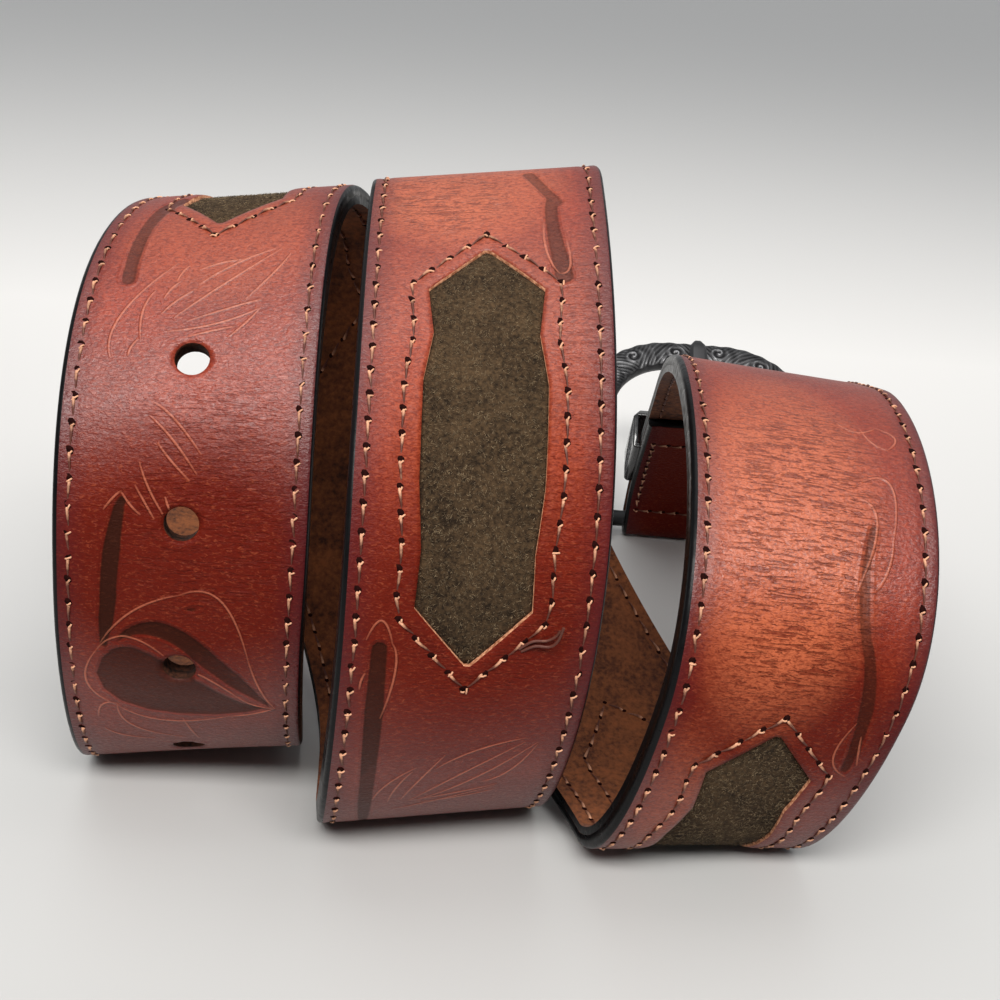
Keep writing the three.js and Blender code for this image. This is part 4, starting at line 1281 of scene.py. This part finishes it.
tail_radius = 0.00022
tail_curve = bpy.data.curves.new("loose_thread", "CURVE")
tail_curve.dimensions = "3D"
for row in tail_rows:
    tail = smooth_line(row, 24)
    places = on_strap(tail[:, 0], tail[:, 1], tail[:, 2] + 0.0001)
    spline = tail_curve.splines.new("POLY")
    spline.points.add(len(places) - 1)
    spline.points.foreach_set("co", np.column_stack([places, np.ones(len(places))]).ravel())
tail_source = bpy.data.objects.new("loose_thread", tail_curve)
bpy.context.scene.collection.objects.link(tail_source)
tail_sizes = {"Radius": tail_radius}
tail_tree = make_bead_tree()
grown_piece("loose_thread", tail_source, tail_tree, waxed_thread, tail_sizes, "strap")


# Keeper. A black enamelled metal loop that holds the strap's end. Its outer plate stands off the strap.
def softened_copy(name, source, radius, segments, body, material):
    """A copy of a CAD node's shape with its corners rounded off."""
    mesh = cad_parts[source].data.copy()
    mesh.name = name
    work = bmesh.new()
    work.from_mesh(mesh)
    bmesh.ops.remove_doubles(work, verts=work.verts, dist=0.00001)
    bmesh.ops.dissolve_limit(work, angle_limit=math.radians(2.0), verts=work.verts, edges=work.edges)
    work.to_mesh(mesh)
    work.free()
    mesh.materials.clear()
    mesh.materials.append(material)
    mesh.polygons.foreach_set("material_index", np.zeros(len(mesh.polygons), np.int32))
    piece = new_piece(name, mesh, body)
    rounding = piece.modifiers.new("rounding", "BEVEL")
    rounding.width = radius
    rounding.segments = segments
    rounding.limit_method = "ANGLE"
    rounding.angle_limit = math.radians(30.0)
    rounding.harden_normals = True
    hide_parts(source)
    return piece


def enamel_material():
    enamel = {"Base_Color": (0.008, 0.008, 0.009, 1.0), "Metallic": 0.2}
    material, tree, shader = new_material("black_enamel", Coat_Weight=0.8, Coat_Roughness=0.06, **enamel)
    place = node(tree, "ShaderNodeTexCoord").outputs["Object"]
    wear = noise(tree, place, 400.0, detail=4.0, roughness=0.6)
    tree.links.new(ranged(tree, wear, 0.35, 0.7, 0.12, 0.34), shader.inputs["Roughness"])
    return material


softened_copy("enamelled_keeper", "keeper", 0.0005, 3, "strap", enamel_material())


# Buckle. A cast western frame in antiqued pewter, domed and engraved with scrolls and leaves, whose
# raised parts are rubbed bright, with a plain round bar across its open end for the strap.
buckle_rise = 35.0
buckle_length = 0.0575
buckle_width = 0.063
buckle_corner = 0.020
buckle_thick = 0.0044
arm_width = 0.0096
far_width = 0.0075
arm_tail = 0.004
buckle_step = 0.0003
carving_depth = 0.00045

end_width = unit(route_width[-1])
bar_centre = route_points[-1] - unit(route_normal[-1]) * fold_outer
upward = np.array([0.0, 0.0, 1.0])
buckle_back = unit(np.cross(upward, end_width))
rise = math.radians(buckle_rise)
buckle_out = buckle_back * math.cos(rise) + upward * math.sin(rise)
buckle_face = np.cross(end_width, buckle_out)


def on_buckle(across, out, face):
    return bar_centre + np.multiply.outer(across, end_width) + np.multiply.outer(out, buckle_out) \
        + np.multiply.outer(face, buckle_face)


def frame_path():
    """The frame's centre line from one tail to the other: place, sideways direction, share of far end."""
    side = (buckle_width - arm_width) / 2.0
    far = buckle_length - far_width / 2.0
    arm = far - buckle_corner + arm_tail
    corner = buckle_corner * math.pi / 2.0
    across_run = 2.0 * (side - buckle_corner)
    total = 2.0 * arm + 2.0 * corner + across_run
    run = np.linspace(0.0, total, int(total / buckle_step) + 1)
    mirrored = np.where(run > total / 2.0, total - run, run)
    hand = np.where(run > total / 2.0, -1.0, 1.0)
    angle = np.clip((mirrored - arm) / buckle_corner, 0.0, math.pi / 2.0)
    past = np.clip(mirrored - arm - corner, 0.0, None)
    across = side - buckle_corner + buckle_corner * np.cos(angle) - past
    out = np.where(mirrored < arm, mirrored - arm_tail, far - buckle_corner + buckle_corner * np.sin(angle))
    return run, across * hand, out, np.cos(angle) * hand, np.sin(angle), total


def scroll_relief(run, side, half, total):
    """Engraving on the frame's face: scrolls in a row with leaves sweeping between them."""
    spacing = 0.0118
    middle = total / 2.0
    cells = np.round((run - middle - spacing / 2.0) / spacing)
    local = run - middle - spacing / 2.0 - cells * spacing
    hand = np.where(np.mod(cells, 2.0) == 0.0, 1.0, -1.0)
    turned = side * hand + 0.0004
    reach = np.hypot(local * 0.95, turned)
    bearing = np.arctan2(turned, local)
    spiral = np.cos(2.0 * math.pi * reach / 0.00165 - bearing)
    scroll = np.clip(1.6 - reach / 0.0019, 0.0, 1.0)
    lobes = np.cos(bearing * 3.0 + reach * 1800.0 + hand)
    veins = np.cos((np.abs(local) * 0.9 + turned * 0.8) * 2.0 * math.pi / 0.00125 + np.sin(local * 700.0))
    leaf = 0.55 * veins + 0.35 * lobes
    relief = scroll * spiral + (1.0 - scroll) * leaf
    rim = np.clip((half - np.abs(side)) / 0.0007, 0.0, 1.0)
    return relief * rim


def buckle_mesh():
    run, across, out, sideways, onward, total = frame_path()
    half = (arm_width + (far_width - arm_width) * onward) / 2.0
    profile = np.linspace(-1.0, 1.0, 33)
    top = buckle_thick / 2.0
    side = half[:, None] * profile
    dome = top * (1.0 - 0.55 * np.abs(profile) ** 2.6) + 0.0 * side
    run_grid = np.repeat(run[:, None], len(profile), 1)
    carved = scroll_relief(run_grid, side, half[:, None], total)
    scallop = 0.03 * np.sin(run * 2.0 * math.pi / 0.0039)[:, None] * np.sign(profile)
    scallop = 1.0 + scallop * (np.abs(profile) > 0.9)
    side = side * scallop
    height = dome + carving_depth * 0.5 * carved
    low = np.array([1.0, 0.92, 0.4, -0.4, -0.92, -1.0])
    low_height = np.array([-0.35, -0.9, -1.0, -1.0, -0.9, -0.35]) * top
    side = np.concatenate([side, half[:, None] * low], 1)
    height = np.concatenate([height, np.repeat(low_height[None], len(run), 0)], 1)
    relief = np.concatenate([carved, np.full((len(run), len(low)), -0.3)], 1)
    grid_across = across[:, None] + side * sideways[:, None]
    grid_out = out[:, None] + side * onward[:, None]
    points = on_buckle(grid_across, grid_out, height)
    rows, size = side.shape
    ring = np.arange(size)
    following = (ring + 1) % size
    faces = []
    for i in range(rows - 1):
        a, b = i * size, (i + 1) * size
        faces += np.stack([a + ring, a + following, b + following, b + ring], 1).tolist()
    faces += [ring[::-1].tolist(), (ring + (rows - 1) * size).tolist()]
    bar_sides = 24
    angles = np.linspace(0.0, 2.0 * math.pi, bar_sides, endpoint=False)
    bar_half = (buckle_width - arm_width) / 2.0
    count = rows * size
    ends = [on_buckle(np.full(bar_sides, x), bar_radius * np.cos(angles), bar_radius * np.sin(angles))
            for x in (-bar_half, bar_half)]
    bar = np.arange(bar_sides)
    onto = (bar + 1) % bar_sides
    near_end, far_end = count, count + bar_sides
    faces += np.stack([near_end + bar, near_end + onto, far_end + onto, far_end + bar], 1).tolist()
    faces += [(count + bar[::-1]).tolist(), (count + bar_sides + bar).tolist()]
    mesh = bpy.data.meshes.new("engraved_frame")
    mesh.from_pydata(np.concatenate([points.reshape(-1, 3)] + ends).tolist(), [], faces)
    turn_faces_out(mesh)
    values = np.concatenate([relief.ravel(), np.zeros(2 * bar_sides)])
    give_values(mesh, relief=values)
    return mesh


def pewter_material():
    material, tree, shader = new_material("antiqued_pewter", Metallic=0.85)
    place = node(tree, "ShaderNodeTexCoord").outputs["Object"]
    cloudy = noise(tree, place, 350.0, detail=5.0, roughness=0.65)
    lifted = maths(tree, "ADD", value_of(tree, "relief"), maths(tree, "MULTIPLY", cloudy, 0.5))
    dark, light = (0.010, 0.010, 0.011, 1.0), (0.085, 0.085, 0.088, 1.0)
    colour = mixed(tree, ranged(tree, lifted, -0.5, 0.7), dark, light)
    colour = mixed(tree, ranged(tree, lifted, 0.85, 1.3), colour, (0.33, 0.33, 0.34, 1.0))
    tree.links.new(colour, shader.inputs["Base Color"])
    tree.links.new(ranged(tree, cloudy, 0.3, 0.7, 0.32, 0.55), shader.inputs["Roughness"])
    bumped(tree, shader, 0.25, 0.0002, cloudy)
    return material


pewter = pewter_material()
engraved = buckle_mesh()
engraved.materials.append(pewter)
buckle = new_piece("engraved_frame", engraved, "buckle")
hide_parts("buckle_frame")


# Prong. A plain cast tongue of the same pewter that turns on the bar and rests on the frame's far end.
softened_copy("pewter_prong", "prong", 0.0006, 3, "prong", pewter)
